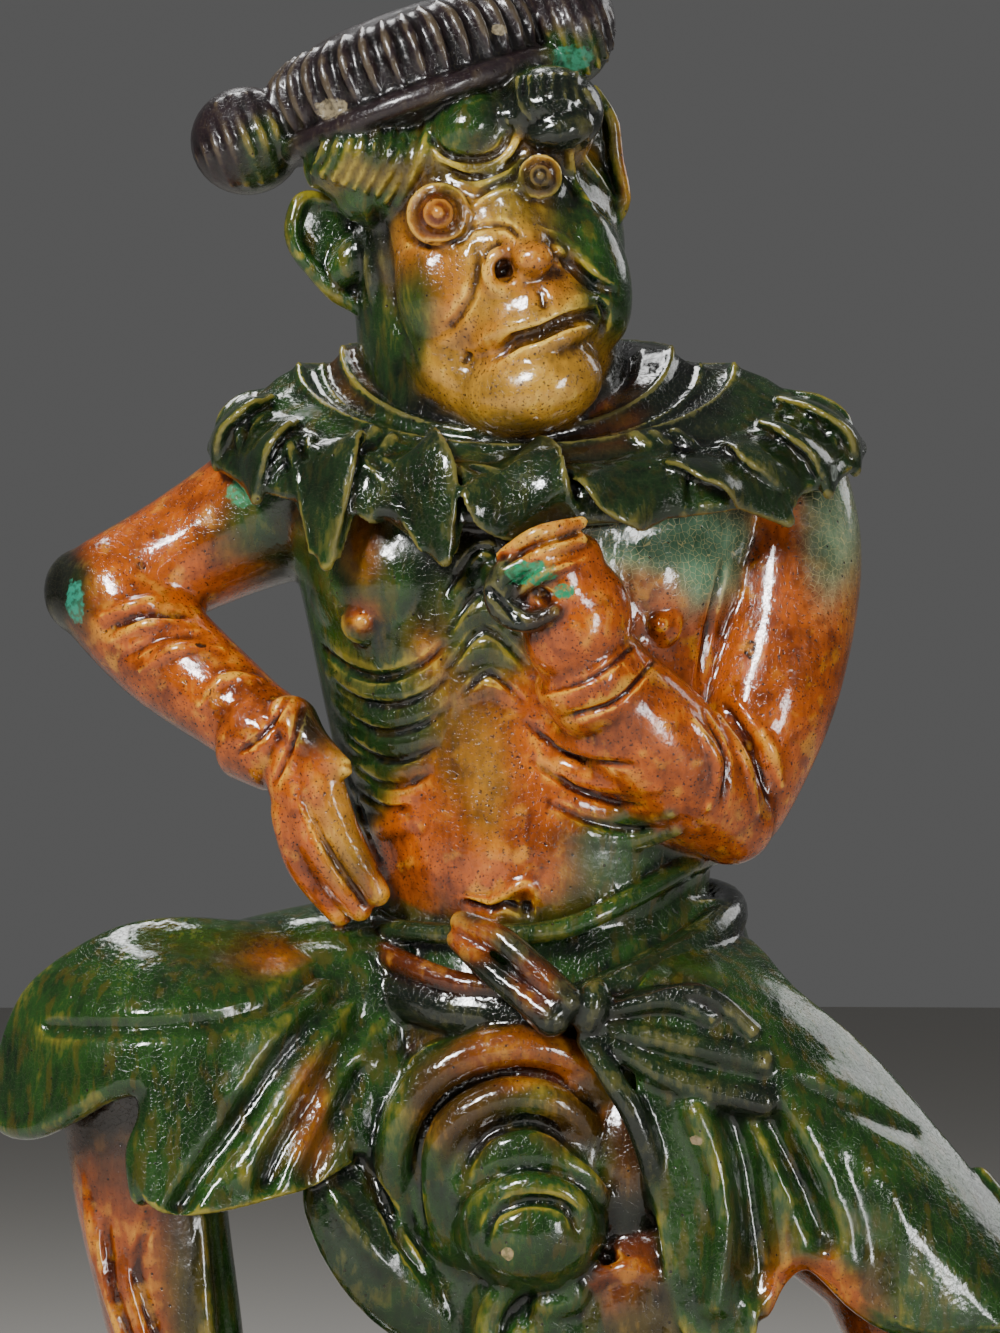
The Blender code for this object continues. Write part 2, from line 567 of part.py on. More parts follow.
def right_flap(clay):
    """The tunic skirt thrown over the raised thigh at -X."""
    outline = [
        (-62, 260), (-90, 263), (-115, 266), (-140, 267), (-162, 263), (-184, 251), (-199, 237), (-208, 216),
        (-211, 198), (-206, 186), (-194, 184), (-178, 191), (-162, 200), (-148, 202), (-146, 190), (-151, 176),
        (-149, 160), (-138, 152), (-118, 153), (-96, 158), (-78, 164), (-52, 186), (-42, 240),
    ]

    grooves = (
        (((-186, 224), (-150, 224.5), (-120, 227), (-100, 232), (-76, 247)), 6, 4.5),
        (((-134, 155), (-127, 166), (-113, 185), (-98, 209), (-84, 226), (-70, 239)), 7, 7),
        (((-101, 164), (-95, 178), (-84, 196), (-72, 215), (-60, 232)), 7, 7),
        (((-84, 164), (-76, 182), (-64, 206)), 6, 5),
        (((-112, 200), (-96, 220), (-80, 234)), 9, -3),
        (((-108, 168), (-90, 196), (-72, 220)), 9, -4),
    )

    def depth(x, z):
        side = 50 * (min(x + 140, 0) / 70) ** 2 + 20 * (max(x + 140, 0) / 70) ** 2
        top = 46 * (max(z - 216, 0) / 50) ** 2
        return -84 + side + top - 6 * max(216 - z, 0) / 60 + folds(grooves, x, z)

    clay.sheet(outline, depth, 11, pitch=2.5)
    clay.coil([(-70, -24, 238), (-110, -34, 240), (-150, -36, 236), (-182, -30, 220)], [24, 26, 28, 24])
    hem = outline[8:17]
    clay.coil([(x, depth(x, z) + 1, z) for x, z in hem], [5] * len(hem))


def left_flap(clay):
    """The tunic skirt that falls over the stretched leg at +X."""
    outline = [
        (86, 260), (110, 239), (132, 221), (150, 203), (166, 184), (184, 162), (200, 142), (209, 124),
        (208, 110), (196, 106), (180, 106), (162, 105), (146, 109), (132, 118), (120, 130), (112, 134), (102, 127),
        (95, 114), (90, 100), (66, 100), (52, 160), (46, 240),
    ]

    grooves = (
        (((110, 203), (130, 193), (156, 181)), 6, 4),
        (((103, 195), (112, 206), (134, 200)), 8, -2.5),
        (((96, 194), (103, 180), (114, 158), (120, 144)), 7, 8),
        (((84, 192), (90, 170), (94, 140), (96, 122)), 8, 9),
        (((90, 189), (99, 174), (108, 156)), 4, -2.5),
        (((110, 188), (120, 168), (127, 150), (130, 132)), 10, -4),
        (((69, 192), (77, 174), (81, 150), (77, 116)), 9, -7),
    )

    def depth(x, z):
        out = (x - 104) * 0.74 + (z - 198) * 0.67
        return -78 + min(34 * (max(out, 0) / 34) ** 2, 60) + 0.2 * max(x - 150, 0) + folds(grooves, x, z)

    clay.sheet(outline, depth, 11, pitch=2.5)
    clay.coil([(72, -34, 232), (112, -36, 196), (152, -36, 158), (186, -38, 128)], [26, 26, 24, 17])
    hem = outline[5:18]
    clay.coil([(x, depth(x, z) + 1, z) for x, z in hem], [5] * len(hem))


def middle_drapery(clay):
    """The panel between the legs: nested swags above a hanging end that stands on the saddle."""
    foot = footing(-62)
    panel = [
        (-44, 212), (-8, 222), (30, 218), (58, 196), (66, 160), (80, 122), (78, 70), (64, 20), (50, foot),
        (-8, foot), (-22, 30), (-34, 84), (-44, 120), (-52, 165),
    ]
    clay.sheet(panel, lambda x, z: -60 + 0.004 * (x - 8) ** 2 + 0.07 * (190 - z), 28)
    swags = (
        (((-44, 144), (-50, 164), (-49, 184), (-40, 202), (-24, 213), (-2, 216), (20, 210), (36, 197)), 7.5, -78),
        (((-32, 156), (-33, 176), (-25, 191), (-6, 199), (14, 197), (27, 186), (33, 168)), 7, -84),
        (((-21, 168), (-12, 176), (1, 180), (14, 177), (24, 169)), 4, -84),
    )
    for line, radius, depth in swags:
        radii = [radius * (0.7 + 0.3 * math.sin(math.pi * k / (len(line) - 1))) for k in range(len(line))]
        clay.coil([(x, depth + 0.12 * (190 - z), z) for x, z in line], radii)
    clay.lump((-4, -58, 168), (44, 25, 48))
    clay.lump((22, -54, 104), (50, 25, 54))
    swags = (
        (((-42, 136), (-47, 160), (-46, 182), (-38, 200), (-22, 211), (-2, 214), (18, 210), (36, 196)), 8.5, -72),
        (((-30, 146), (-32, 170), (-26, 187), (-8, 197), (12, 195), (26, 184), (33, 166)), 7.5, -76),
        (((-21, 166), (-12, 176), (1, 180), (14, 177), (24, 168)), 4.5, -80),
    )
    for line, radius, depth in swags:
        swelling = [0.7 + 0.3 * math.sin(math.pi * k / (len(line) - 1)) for k in range(len(line))]
        path = [(x, depth + 0.1 * (190 - z), z) for x, z in line]
        clay.coil(path, [(radius * 1.1, radius * share) for share in swelling], across=INWARD)
    clay.lump((5, -76, 147), (28, 20, 26))
    rim = [(-22, 144), (-19, 160), (-8, 171), (6, 174), (20, 170), (30, 160), (33, 146)]
    clay.coil([(x, -84 - 5 * math.sin(math.pi * k / 6), z) for k, (x, z) in enumerate(rim)], [4] * 7)
    clay.coil([(-15, -92, 140), (-11, -95, 154), (4, -97, 160), (18, -96, 155), (23, -92, 141)], [4, 4.5, 5, 4.5, 4])
    clay.lump((4, -88, 138), (16, 12, 14))
    for line, radius, depth in (
        (((-15, 96), (-13, 112), (-4, 124), (10, 129), (21, 125), (20, 117), (8, 114)), 5, -80),
        (((-6, 94), (3, 106), (14, 106), (22, 96)), 6, -76),
        (((28, 126), (40, 130), (52, 127), (61, 114), (58, 98), (50, 88)), 5, -77),
        (((60, 152), (67, 132), (70, 112), (68, 86)), 7, -68),
        (((-20, 92), (-12, 64), (-8, 30), (-2, foot + 12)), 8, -68),
        (((6, 92), (12, 60), (14, 30), (14, foot + 12)), 9, -70),
        (((30, 96), (38, 64), (38, 34), (32, foot + 12)), 9, -68),
        (((58, 84), (58, 54), (54, 28), (48, foot + 12)), 8, -62),
    ):
        clay.coil([(x, depth + 0.05 * (120 - z), z) for x, z in line], [radius] * len(line))
    clay.lump((46, -66, 116), (22, 16, 30))
    leaf = [(-82, -56, 176), (-74, -64, 156), (-58, -66, 132), (-42, -62, 112), (-24, -58, 100)]
    clay.coil(leaf, [(3, 3), (13, 7), (17, 8), (14, 7), (8, 5)], across=(1, 0, 0.6), blunt=1.5)
    clay.coil([(-78, -68, 166), (-68, -74, 150), (-54, -74, 132), (-36, -70, 116)], [3, 5, 5, 3.5])
    clay.coil([(-56, -42, 200), (-60, -46, 166), (-40, -48, 124)], [22, 20, 14])


def back_skirt(clay):
    """The tunic's back: a flared skirt with soft folds, and a tail that stands on the saddle."""

    def section(angle):
        row = []
        for share, reach, thickness in ((0.0, 0.0, 5), (0.35, 8, 6), (0.7, 17, 6), (1.0, 24, 5)):
            ripple = 3.0 * math.sin(9 * angle) * share
            wide, deep = 74 + reach * 1.2 + ripple, 50 + reach + ripple
            row.append((wide, deep, 274 - 104 * share, thickness))
        c, s = math.cos(angle), math.sin(angle)
        outer = [(9 + (w + t) * c, 2 + (d + t) * s, z) for w, d, z, t in row]
        inner = [(9 + (w - 16) * c, 2 + (d - 16) * s, z) for w, d, z, t in reversed(row)]
        return outer + inner

    clay.wreath(section)
    tail = [(8, 44, 190), (8, 50, 140), (8, 46, 90), (8, 34, 40), (8, 24, footing(44))]
    clay.coil(tail, [(70, 20), (62, 20), (52, 18), (46, 18), (46, 18)], across=LEFT_TO_RIGHT, blunt=0.3)
    for across in (-34, -12, 12, 34):
        fold = [(8 + across * 1.4, 60, 186), (8 + across * 1.2, 68, 140), (8 + across, 62, 90), (8 + across * 0.9, 48, 36)]
        clay.coil(fold, [5, 8, 8, 6])


def saddle_base():
    """The ridge-tile saddle under the feet: square-cut ends, upright lips and a low arched crown."""
    half = BASE_WIDTH / 2
    rise = BASE_HEIGHT - BASE_LIP
    arch = []
    for k in range(25):
        angle = math.pi * k / 24
        arch.append((half * math.cos(angle), BASE_LIP + rise * math.sin(angle)))
    outline = [(-half, 0.0), (half, 0.0), *arch]
    base = bmesh.new()
    end = base.faces.new([base.verts.new((-BASE_LENGTH / 2, y, z)) for y, z in outline])
    swept = bmesh.ops.extrude_face_region(base, geom=[end])
    moved = [g for g in swept["geom"] if isinstance(g, bmesh.types.BMVert)]
    bmesh.ops.translate(base, verts=moved, vec=(BASE_LENGTH, 0, 0))
    bmesh.ops.recalc_face_normals(base, faces=base.faces)
    mesh = bpy.data.meshes.new("saddle_base")
    base.to_mesh(mesh)
    base.free()
    mesh.shade_smooth()
    mesh.set_sharp_from_angle(angle=math.radians(30))
    obj = bpy.data.objects.new("saddle_base", mesh)
    bpy.context.scene.collection.objects.link(obj)
    soften = obj.modifiers.new("soft edges", "BEVEL")
    soften.width = BASE_EDGE_ROUND
    soften.segments = 2
    soften.limit_method = "ANGLE"
    soften.angle_limit = math.radians(50)
    obj.hide_render = True
    obj.display_type = "WIRE"
    return obj


def glaze():
    """Green lead glaze, the colour that covers most of the tile."""
    material = bpy.data.materials.new("lead_glaze")
    material.use_nodes = True
    shader = material.node_tree.nodes["Principled BSDF"]
    shader.inputs["Base Color"].default_value = GLAZE_GREEN
    shader.inputs["Roughness"].default_value = 0.12
    shader.inputs["Metallic"].default_value = 0.0
    return material


def build_clay():
    """All the figure's clay, in figure units above the saddle's crown."""
    clay = Clay()
    torso(clay)
    clay.settle()
    chest_details(clay)
    right_arm(clay)
    left_arm(clay)
    head(clay)
    brows(clay)
    hat(clay)
    collar(clay)
    leg_right(clay)
    leg_left(clay)
    back_skirt(clay)
    right_flap(clay)
    left_flap(clay)
    middle_drapery(clay)
    sash(clay)
    return clay


def triangle_count(obj):
    """Triangles of an object as the viewport evaluates it."""
    graph = bpy.context.evaluated_depsgraph_get()
    evaluated = obj.evaluated_get(graph)
    mesh = evaluated.to_mesh()
    mesh.calc_loop_triangles()
    count = len(mesh.loop_triangles)
    evaluated.to_mesh_clear()
    return count


def figural_tile():
    """The tile as one solid: clay melted together, smoothed, thinned to the budget and joined to its base."""
    clay = build_clay()
    mesh = bpy.data.meshes.new("figural_ridge_tile")
    mesh.from_pydata([p * UNIT for p in clay.points], [], clay.faces)
    tile = bpy.data.objects.new("figural_ridge_tile", mesh)
    bpy.context.scene.collection.objects.link(tile)
    mesh.transform(Matrix.Translation((0, 0, BASE_HEIGHT)))
    mesh.shade_smooth()
    mesh.materials.append(glaze())
    melt = tile.modifiers.new("one skin", "REMESH")
    melt.mode = "VOXEL"
    melt.voxel_size = CLAY_GRAIN
    melt.use_smooth_shade = True
    sponge = tile.modifiers.new("sponged smooth", "SMOOTH")
    sponge.iterations = SMOOTHING_PASSES
    sponge.factor = 0.5
    dense = triangle_count(tile)
    thin = tile.modifiers.new("fewer faces", "DECIMATE")
    thin.ratio = TRIANGLE_BUDGET / dense
    thin.use_collapse_triangulate = True
    join = tile.modifiers.new("on its saddle", "BOOLEAN")
    join.operation = "UNION"
    join.object = saddle_base()
    return tile


def main():
    for obj in list(bpy.data.objects):
        bpy.data.objects.remove(obj)
    figural_tile()


main()
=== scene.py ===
"""Looks of the glazed ceramic ridge tile: its modelled relief and its poured lead glazes.

Clay is laid up in drawn units, one to a millimetre of the figure, above the saddle's crown. The flesh is
sponged smooth first, the dress and the fine forms are laid on it, and a tool line sharpens the creases.
"""

import math

import bmesh
import bpy
import numpy as np
from mathutils import Euler, Matrix, Vector, noise
from mathutils.bvhtree import BVHTree
from mathutils.geometry import delaunay_2d_cdt
from mathutils.kdtree import KDTree


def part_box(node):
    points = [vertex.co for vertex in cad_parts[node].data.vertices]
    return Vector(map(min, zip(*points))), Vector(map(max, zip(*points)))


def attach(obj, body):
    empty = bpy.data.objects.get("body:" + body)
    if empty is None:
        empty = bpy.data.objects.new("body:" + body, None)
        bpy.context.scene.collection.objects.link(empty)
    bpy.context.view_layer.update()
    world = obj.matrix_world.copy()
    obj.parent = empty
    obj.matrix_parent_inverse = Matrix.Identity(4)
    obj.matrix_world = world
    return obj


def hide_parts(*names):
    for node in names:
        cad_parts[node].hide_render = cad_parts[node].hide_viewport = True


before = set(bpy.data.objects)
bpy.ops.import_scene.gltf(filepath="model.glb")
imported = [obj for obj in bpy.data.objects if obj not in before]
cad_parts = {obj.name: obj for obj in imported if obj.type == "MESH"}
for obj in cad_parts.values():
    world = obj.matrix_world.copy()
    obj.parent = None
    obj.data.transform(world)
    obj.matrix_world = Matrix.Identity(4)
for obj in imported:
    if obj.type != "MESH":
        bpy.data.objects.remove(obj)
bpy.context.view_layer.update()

TILE = "figural_ridge_tile"
TILE_LOW, TILE_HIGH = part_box(TILE)

# Metres in a drawn unit, and the saddle's sizes in drawn units
UNIT = 0.001
BASE_LENGTH = (TILE_HIGH.x - TILE_LOW.x) / UNIT
BASE_WIDTH = 2 * TILE_HIGH.y / UNIT
BASE_HEIGHT = 46.0
BASE_LIP = 14.0
FOOT_SINK = 8.0

# Voxel sizes of the two meltings, in drawn units, and how often each is sponged
FLESH_GRAIN = 1.7
FLESH_SPONGING = 9
RELIEF_GRAIN = 1.15
RELIEF_SPONGING = 2
MOST_TRIANGLES = 194000

LEFT_TO_RIGHT = Vector((1, 0, 0))
INWARD = Vector((0, 1, 0))
UPWARD = Vector((0, 0, 1))

# Rings to each span of a coil, a distance beyond all the clay, and the depth from which the nearest skin is
# sought where nothing lies straight behind a point
COIL_STEPS = 6
FAR_OFF = 500.0
BESIDE = -25.0


def spline(points, steps, closed=False):
    """Catmull-Rom through tuples of any length, with the given steps to each span."""
    count = len(points)
    spans = count if closed else count - 1
    made = []
    for i in range(spans):
        if closed:
            a, b, c, d = (points[(i + k) % count] for k in (-1, 0, 1, 2))
        else:
            a, b, c, d = (points[min(max(i + k, 0), count - 1)] for k in (-1, 0, 1, 2))
        for step in range(steps):
            t = step / steps
            row = []
            for p, q, r, s in zip(a, b, c, d):
                square = (2 * p - 5 * q + 4 * r - s) * t * t
                cube = (3 * q - p - 3 * r + s) * t**3
                row.append(0.5 * (2 * q + (r - p) * t + square + cube))
            made.append(tuple(row))
    if not closed:
        made.append(tuple(points[-1]))
    return made


def swell(distance, reach):
    """1 at no distance, falling smoothly to 0 at reach."""
    share = min(abs(distance) / reach, 1.0)
    return (1 - share * share) ** 2


def distance_to(line, x, z):
    """How far (x, z) is from a line of (across, up) points."""
    nearest = FAR_OFF
    for (ax, az), (bx, bz) in zip(line, line[1:]):
        dx, dz = bx - ax, bz - az
        share = min(max(((x - ax) * dx + (z - az) * dz) / (dx * dx + dz * dz), 0.0), 1.0)
        nearest = min(nearest, math.hypot(x - ax - dx * share, z - az - dz * share))
    return nearest


def folds(lines, x, z):
    """How far folds press a sheet in at (x, z): each a (line, reach, depth), raised if depth is negative."""
    return sum(depth * swell(distance_to(line, x, z), reach) for line, reach, depth in lines)


def ring_of(count):
    """Evenly spaced angles round a ring."""
    return [math.tau * k / count for k in range(count)]


class Clay:
    """Closed shells of clay in drawn units, gathered as one mesh, each face marked with its form."""

    def __init__(self, skin=None):
        self.points = []
        self.faces = []
        self.marks = []
        self.form = "torso"
        self.place = Matrix.Identity(4)
        self.skin = skin

    def add(self, points, faces):
        start = len(self.points)
        self.points += [self.place @ Vector(p) for p in points]
        self.faces += [[start + i for i in face] for face in faces]
        self.marks += [self.form] * len(faces)

    def front(self, across, up, depth=0.0):
        """The skin's point seen at (across, up) from the front, or the nearest past its edge, pushed in."""
        hit = self.skin.ray_cast((across, -FAR_OFF, up), INWARD)[0]
        if hit is None:
            hit = self.skin.find_nearest((across, BESIDE, up))[0]
        return (hit.x, hit.y + depth, hit.z)

    def lump(self, centre, radii, lean=(0, 0, 0)):
        """An ellipsoid. lean is its turn about X, Y and Z in degrees."""
        turn = Euler([math.radians(a) for a in lean]).to_matrix()
        rings = max(10, min(26, round(max(radii) * 0.8)))
        sides = rings * 2
        points = [Vector((0, 0, 1))]
        for i in range(1, rings):
            polar = math.pi * i / rings
            for around in ring_of(sides):
                flat = math.sin(polar)
                points.append(Vector((flat * math.cos(around), flat * math.sin(around), math.cos(polar))))
        points.append(Vector((0, 0, -1)))
        last = len(points) - 1
        faces = []
        for k in range(sides):
            after = (k + 1) % sides
            faces.append((0, 1 + k, 1 + after))
            for i in range(rings - 2):
                row = 1 + i * sides
                faces.append((row + k, row + sides + k, row + sides + after, row + after))
            row = 1 + (rings - 2) * sides
            faces.append((row + k, last, row + after))
        sized = [turn @ Vector(a * b for a, b in zip(p, radii)) + Vector(centre) for p in points]
        self.add(sized, faces)

    def coil(self, path, radii, across=None, closed=False, blunt=1.0):
        """A rolled coil along a smooth path. A radius is a number, or (across, deep) if across is given."""
        pairs = [r if isinstance(r, tuple) else (r, r) for r in radii]
        sides = max(12, min(48, round(max(max(p) for p in pairs) * 1.6)))
        rows = spline([tuple(p) + pair for p, pair in zip(path, pairs)], COIL_STEPS, closed)
        centres = [Vector(row[:3]) for row in rows]
        count = len(centres)
        tangents = []
        for i in range(count):
            ahead = centres[(i + 1) % count] if closed else centres[min(i + 1, count - 1)]
            behind = centres[i - 1] if closed else centres[max(i - 1, 0)]
            tangents.append((ahead - behind).normalized())
        side = Vector(across) if across else tangents[0].orthogonal()
        rings = []
        for centre, tangent, row in zip(centres, tangents, rows):
            hint = Vector(across) if across else side
            side = (hint - tangent * hint.dot(tangent)).normalized()
            rings.append((centre, side, tangent.cross(side), row[3], row[4]))
        if not closed:
            first, last = (self._end_cap(rings, tangents, end, blunt) for end in (0, -1))
            rings = first + rings + last
        points = []
        for centre, side, other, wide, deep in rings:
            for angle in ring_of(sides):
                points.append(centre + side * wide * math.cos(angle) + other * deep * math.sin(angle))
        faces = []
        made = len(rings)
        for i in range(made if closed else made - 1):
            here, there = i * sides, (i + 1) % made * sides
            for k in range(sides):
                after = (k + 1) % sides
                faces.append((here + k, here + after, there + after, there + k))
        if not closed:
            faces.append(tuple(reversed(range(sides))))
            faces.append(tuple((made - 1) * sides + k for k in range(sides)))
        self.add(points, faces)

    def laid(self, line, depth, radii, across=None):
        """A coil laid on the skin along a line of (across, up) points, its middle pushed in by depth."""
        self.coil([self.front(x, z, depth) for x, z in line], radii, across=across)

    def _end_cap(self, rings, tangents, end, blunt):
        """The shrinking rings that round off one end of a coil."""
        centre, side, other, wide, deep = rings[end]
        outward = tangents[end] * (1 if end else -1)
        cap = []
        for angle in (math.radians(a) for a in (20, 40, 60, 80)):
            shrink = math.cos(angle)
            reach = min(wide, deep) * blunt * math.sin(angle)
            cap.append((centre + outward * reach, side, other, wide * shrink, deep * shrink))
        return cap if end else cap[::-1]

    def sheet(self, outline, depth, thickness, pitch=3.0):
        """A rolled sheet cut to an outline of (across, up) points, its middle at y = depth(across, up)."""
        edge = [Vector(p) for p in spline(outline, 4, closed=True)]
        count = len(edge)
        made = delaunay_2d_cdt(
            edge + self._fill(edge, pitch), [(i, (i + 1) % count) for i in range(count)], [], 1, 1e-4
        )
        flat, triangles = made[0], made[2]
        near = [Vector((p.x, depth(p.x, p.y) - thickness / 2, p.y)) for p in flat]
        far = [Vector((p.x, p_near.y + thickness, p.y)) for p, p_near in zip(flat, near)]
        start = len(flat)
        faces = [tuple(t) for t in triangles]
        faces += [tuple(start + i for i in reversed(t)) for t in triangles]
        for a in range(count):
            b = (a + 1) % count
            faces.append((b, a, start + a, start + b))
        shell = bmesh.new()
        corners = [shell.verts.new(p) for p in near + far]
        for face in faces:
            shell.faces.new([corners[i] for i in face])
        bmesh.ops.recalc_face_normals(shell, faces=shell.faces)
        shell.verts.index_update()
        self.add([v.co.copy() for v in shell.verts], [[v.index for v in f.verts] for f in shell.faces])
        shell.free()

    def _fill(self, edge, pitch):
        """Grid points inside the outline, clear of its edge."""
        border = np.array([p[:] for p in edge])
        after = np.roll(border, -1, axis=0)
        low, high = border.min(0), border.max(0)
        xs = np.arange(low[0] + pitch, high[0], pitch)
        ys = np.arange(low[1] + pitch, high[1], pitch)
        spots = np.array([(x, y) for x in xs for y in ys])
        x, y = spots[:, :1], spots[:, 1:]
        crosses = (border[:, 1] > y) != (after[:, 1] > y)
        rise = after[:, 1] - border[:, 1]
        rise[rise == 0] = 1e-9
        meets = border[:, 0] + (y - border[:, 1]) / rise * (after[:, 0] - border[:, 0])
        inside = (crosses & (x < meets)).sum(1) % 2 == 1
        clear = np.sqrt(((spots[:, None] - border) ** 2).sum(2)).min(1) > pitch * 0.5
        return [Vector(p) for p in spots[inside & clear]]

    def wreath(self, section, steps=120):
        """A closed ring. section gives a closed row of (x, y, z) points at an angle from +X in radians."""
        rows = [section(angle) for angle in ring_of(steps)]
        across = len(rows[0])
        points = [p for row in rows for p in row]
        faces = []
        for i in range(steps):
            here, there = i * across, (i + 1) % steps * across
            for k in range(across):
                after = (k + 1) % across
                faces.append((here + k, there + k, there + after, here + after))
        self.add(points, faces)


def turned(centre, lean):
    """A frame at centre, leaned about X, Y and Z in degrees."""
    return Matrix.Translation(centre) @ Euler([math.radians(a) for a in lean]).to_matrix().to_4x4()


HEAD_LEAN = -20
HAT = turned((-41, -2, 597), (0, HEAD_LEAN, 0))
HAT_OVAL = 0.94

# Each eye: across, up, radius of its socket ring and of its ball
EYES = ((-32.5, 547, 10.8, 8.6), (8, 562, 7.6, 6.0))


def torso(clay):
    """Chest, belly and hips, as sections from the shoulders down: height, centre, half width, half depth."""
    clay.form = "torso"
    sections = [
        (458, 0, 2, 70, 46),
        (444, 2, 1, 98, 56),
        (426, 3, -1, 101, 60),
        (408, 3, -1, 95, 61),
        (386, 3, -3, 89, 60),
        (354, 4, -4, 83, 58),
        (322, 6, -6, 77, 56),
        (294, 8, -8, 71, 55),
        (274, 9, -5, 68, 53),
        (254, 8, 0, 75, 55),
        (230, 8, 2, 80, 56),
        (204, 8, 3, 78, 53),
        (182, 8, 4, 62, 44),
    ]
    path = [(x, y, z) for z, x, y, wide, deep in sections]
    clay.coil(path, [row[3:] for row in sections], across=LEFT_TO_RIGHT, blunt=0.4)
    for across in (-44, 48):
        clay.lump((across, -11, 404), (43, 46, 40))
    clay.form = "neck"
    clay.coil([(-5, 6, 440), (-10, 5, 480), (-18, 4, 520)], [58, 55, 50])


def right_arm(clay):
    """The arm at -X: elbow out, hand on the hip."""
    clay.form = "right sleeve"
    clay.coil([(-84, 10, 440), (-112, 12, 426), (-140, 12, 411), (-162, 10, 398)], [36, 29, 25, 25])
    clay.coil([(-164, 8, 397), (-152, 0, 382), (-136, -10, 367), (-102, -30, 341)], [25, 23.5, 22, 17.5])
    clay.lump((-178, 12, 398), (16, 17, 18))
    clay.form = "right hand"
    clay.lump((-86, -44, 320), (15, 13, 26), lean=(0, -20, 0))


def left_arm(clay):
    """The arm at +X: bent up, with the fist before the chest."""
    clay.form = "left sleeve"
    upper = [(100, 6, 446), (108, 0, 418), (107, -8, 388), (99, -18, 352), (90, -26, 318), (85, -32, 305)]
    clay.coil(upper, [32, 30.5, 29, 27.5, 21, 17])
    clay.coil([(84, -38, 306), (68, -50, 321), (50, -62, 341), (33, -72, 361)], [18.5, 25, 26, 21])
    clay.form = "fist"
    clay.lump((22, -84, 385), (22, 19, 26), lean=(0, 16, 0))
    clay.coil([(16, -86, 396), (13, -88, 412)], [(21, 19), (19, 16)], across=(0.95, 0, 0.3), blunt=0.5)


def head_masses(clay):
    """Skull, cheeks, jaw and brow masses; the face looks a little to +X."""
    clay.form = "head"
    clay.lump((-13, 2, 542), (55, 58, 62), lean=(0, HEAD_LEAN, 0))
    clay.lump((-14, -28, 574), (46, 26, 28), lean=(0, HEAD_LEAN, 0))
    clay.lump((-5, -24, 520), (45, 42, 57), lean=(0, -12, 0))
    clay.lump((-31, -38, 519), (19, 21, 31), lean=(0, -8, 0))
    clay.lump((28, -34, 525), (16, 24, 31), lean=(0, -14, 0))
    clay.coil([(-34, -34, 508), (-27, -38, 490), (-10, -44, 476)], [15, 17, 15])
    clay.lump((5, -50, 479), (29, 22, 19), lean=(0, -14, 0))
    clay.lump((5, -56, 506), (24, 15, 20), lean=(0, -20, 0))
    clay.lump((8, -55, 479), (25, 19, 17), lean=(0, HEAD_LEAN, 0))
    clay.coil([(-8, -49, 556), (-4, -54, 546), (2, -62, 534)], [11, 10, 10])
    for x, z, socket, ball in EYES:
        clay.lump((x, -50, z), (socket * 1.15, 12, socket * 1.15))
    clay.form = "brows"
    clay.lump((-60, -30, 572), (26, 21, 19), lean=(0, -14, 0))
    clay.lump((-60, -32, 556), (15, 15, 12))
    clay.lump((13, -42, 590), (21, 17, 18), lean=(0, 12, 0))
    clay.lump((-20, -38, 583), (19, 21, 15), lean=(0, HEAD_LEAN, 0))


def thighs_and_shins(clay):
    """One thigh raised to the side with its shin upright, the other leg stretched out."""
    clay.form = "right leg"
    clay.coil([(-40, -2, 230), (-95, -20, 226), (-145, -34, 218)], [50, 43, 38])
    shin = [(-152, -36, 214), (-150, -36, 180), (-147, -36, 150), (-138, -32, 100), (-133, -26, 66)]
    clay.coil(shin, [35, 32, 30, 27, 25])
    clay.form = "left leg"
    clay.coil([(48, -2, 226), (105, -18, 180), (148, -28, 138)], [48, 44, 36])
    clay.coil([(146, -28, 142), (158, -22, 104), (165, -14, 66)], [34, 29, 25])


def chest_details(clay):
    """Windpipe rings, ribs, nipples and the navel fold, laid on the sponged torso."""
    clay.form = "torso"
    for up, half in ((414, 13), (403, 15), (390, 17), (376, 18), (362, 18)):
        arch = [(-13 + half * s, up - half * 0.8 * abs(s) ** 2.2) for s in (-1, -0.6, 0, 0.6, 1)]
        radii = [(2.4, 1.2), (4.4, 2.6), (5.2, 3.0), (4.4, 2.6), (2.4, 1.2)]
        clay.laid(arch, 1.2, radii, across=UPWARD)
    for k in range(6):
        up = 357 - 10.6 * k
        rib = (
            (-77 + 2 * k, up + 9), (-66 + k, up + 1.5), (-52, up), (-39 - k, up + 3), (-29 - 2 * k, up + 9),
        )
        radii = [(3.0, 1.6), (5.2, 3.6), (5.6, 4.2), (4.8, 3.2), (1.8, 0.8)]
        clay.laid(rib, 1.8, radii, across=UPWARD)
    for rib in (
        ((1, 352), (12, 342), (28, 336), (48, 335)),
        ((2, 339), (16, 328), (34, 322), (54, 321)),
        ((4, 324), (20, 314), (40, 309), (60, 311)),
        ((8, 308), (24, 302), (44, 299), (62, 304)),
    ):
        radii = [(1.8, 0.9), (4.6, 3.0), (5.4, 3.8), (4.0, 2.6)]
        clay.laid(rib, 1.6, radii, across=UPWARD)
    for across, up in ((-63, 385), (56, 384)):
        clay.lump(clay.front(across, up, 1.5), (9, 4.5, 9))
        clay.lump(clay.front(across, up, -1.6), (4.4, 4, 4.4))
    clay.laid(((-24, 276), (-12, 274), (-4, 278), (3, 281), (8, 274)), 0.4, [1.2, 2.8, 3.4, 3.0, 1.2])


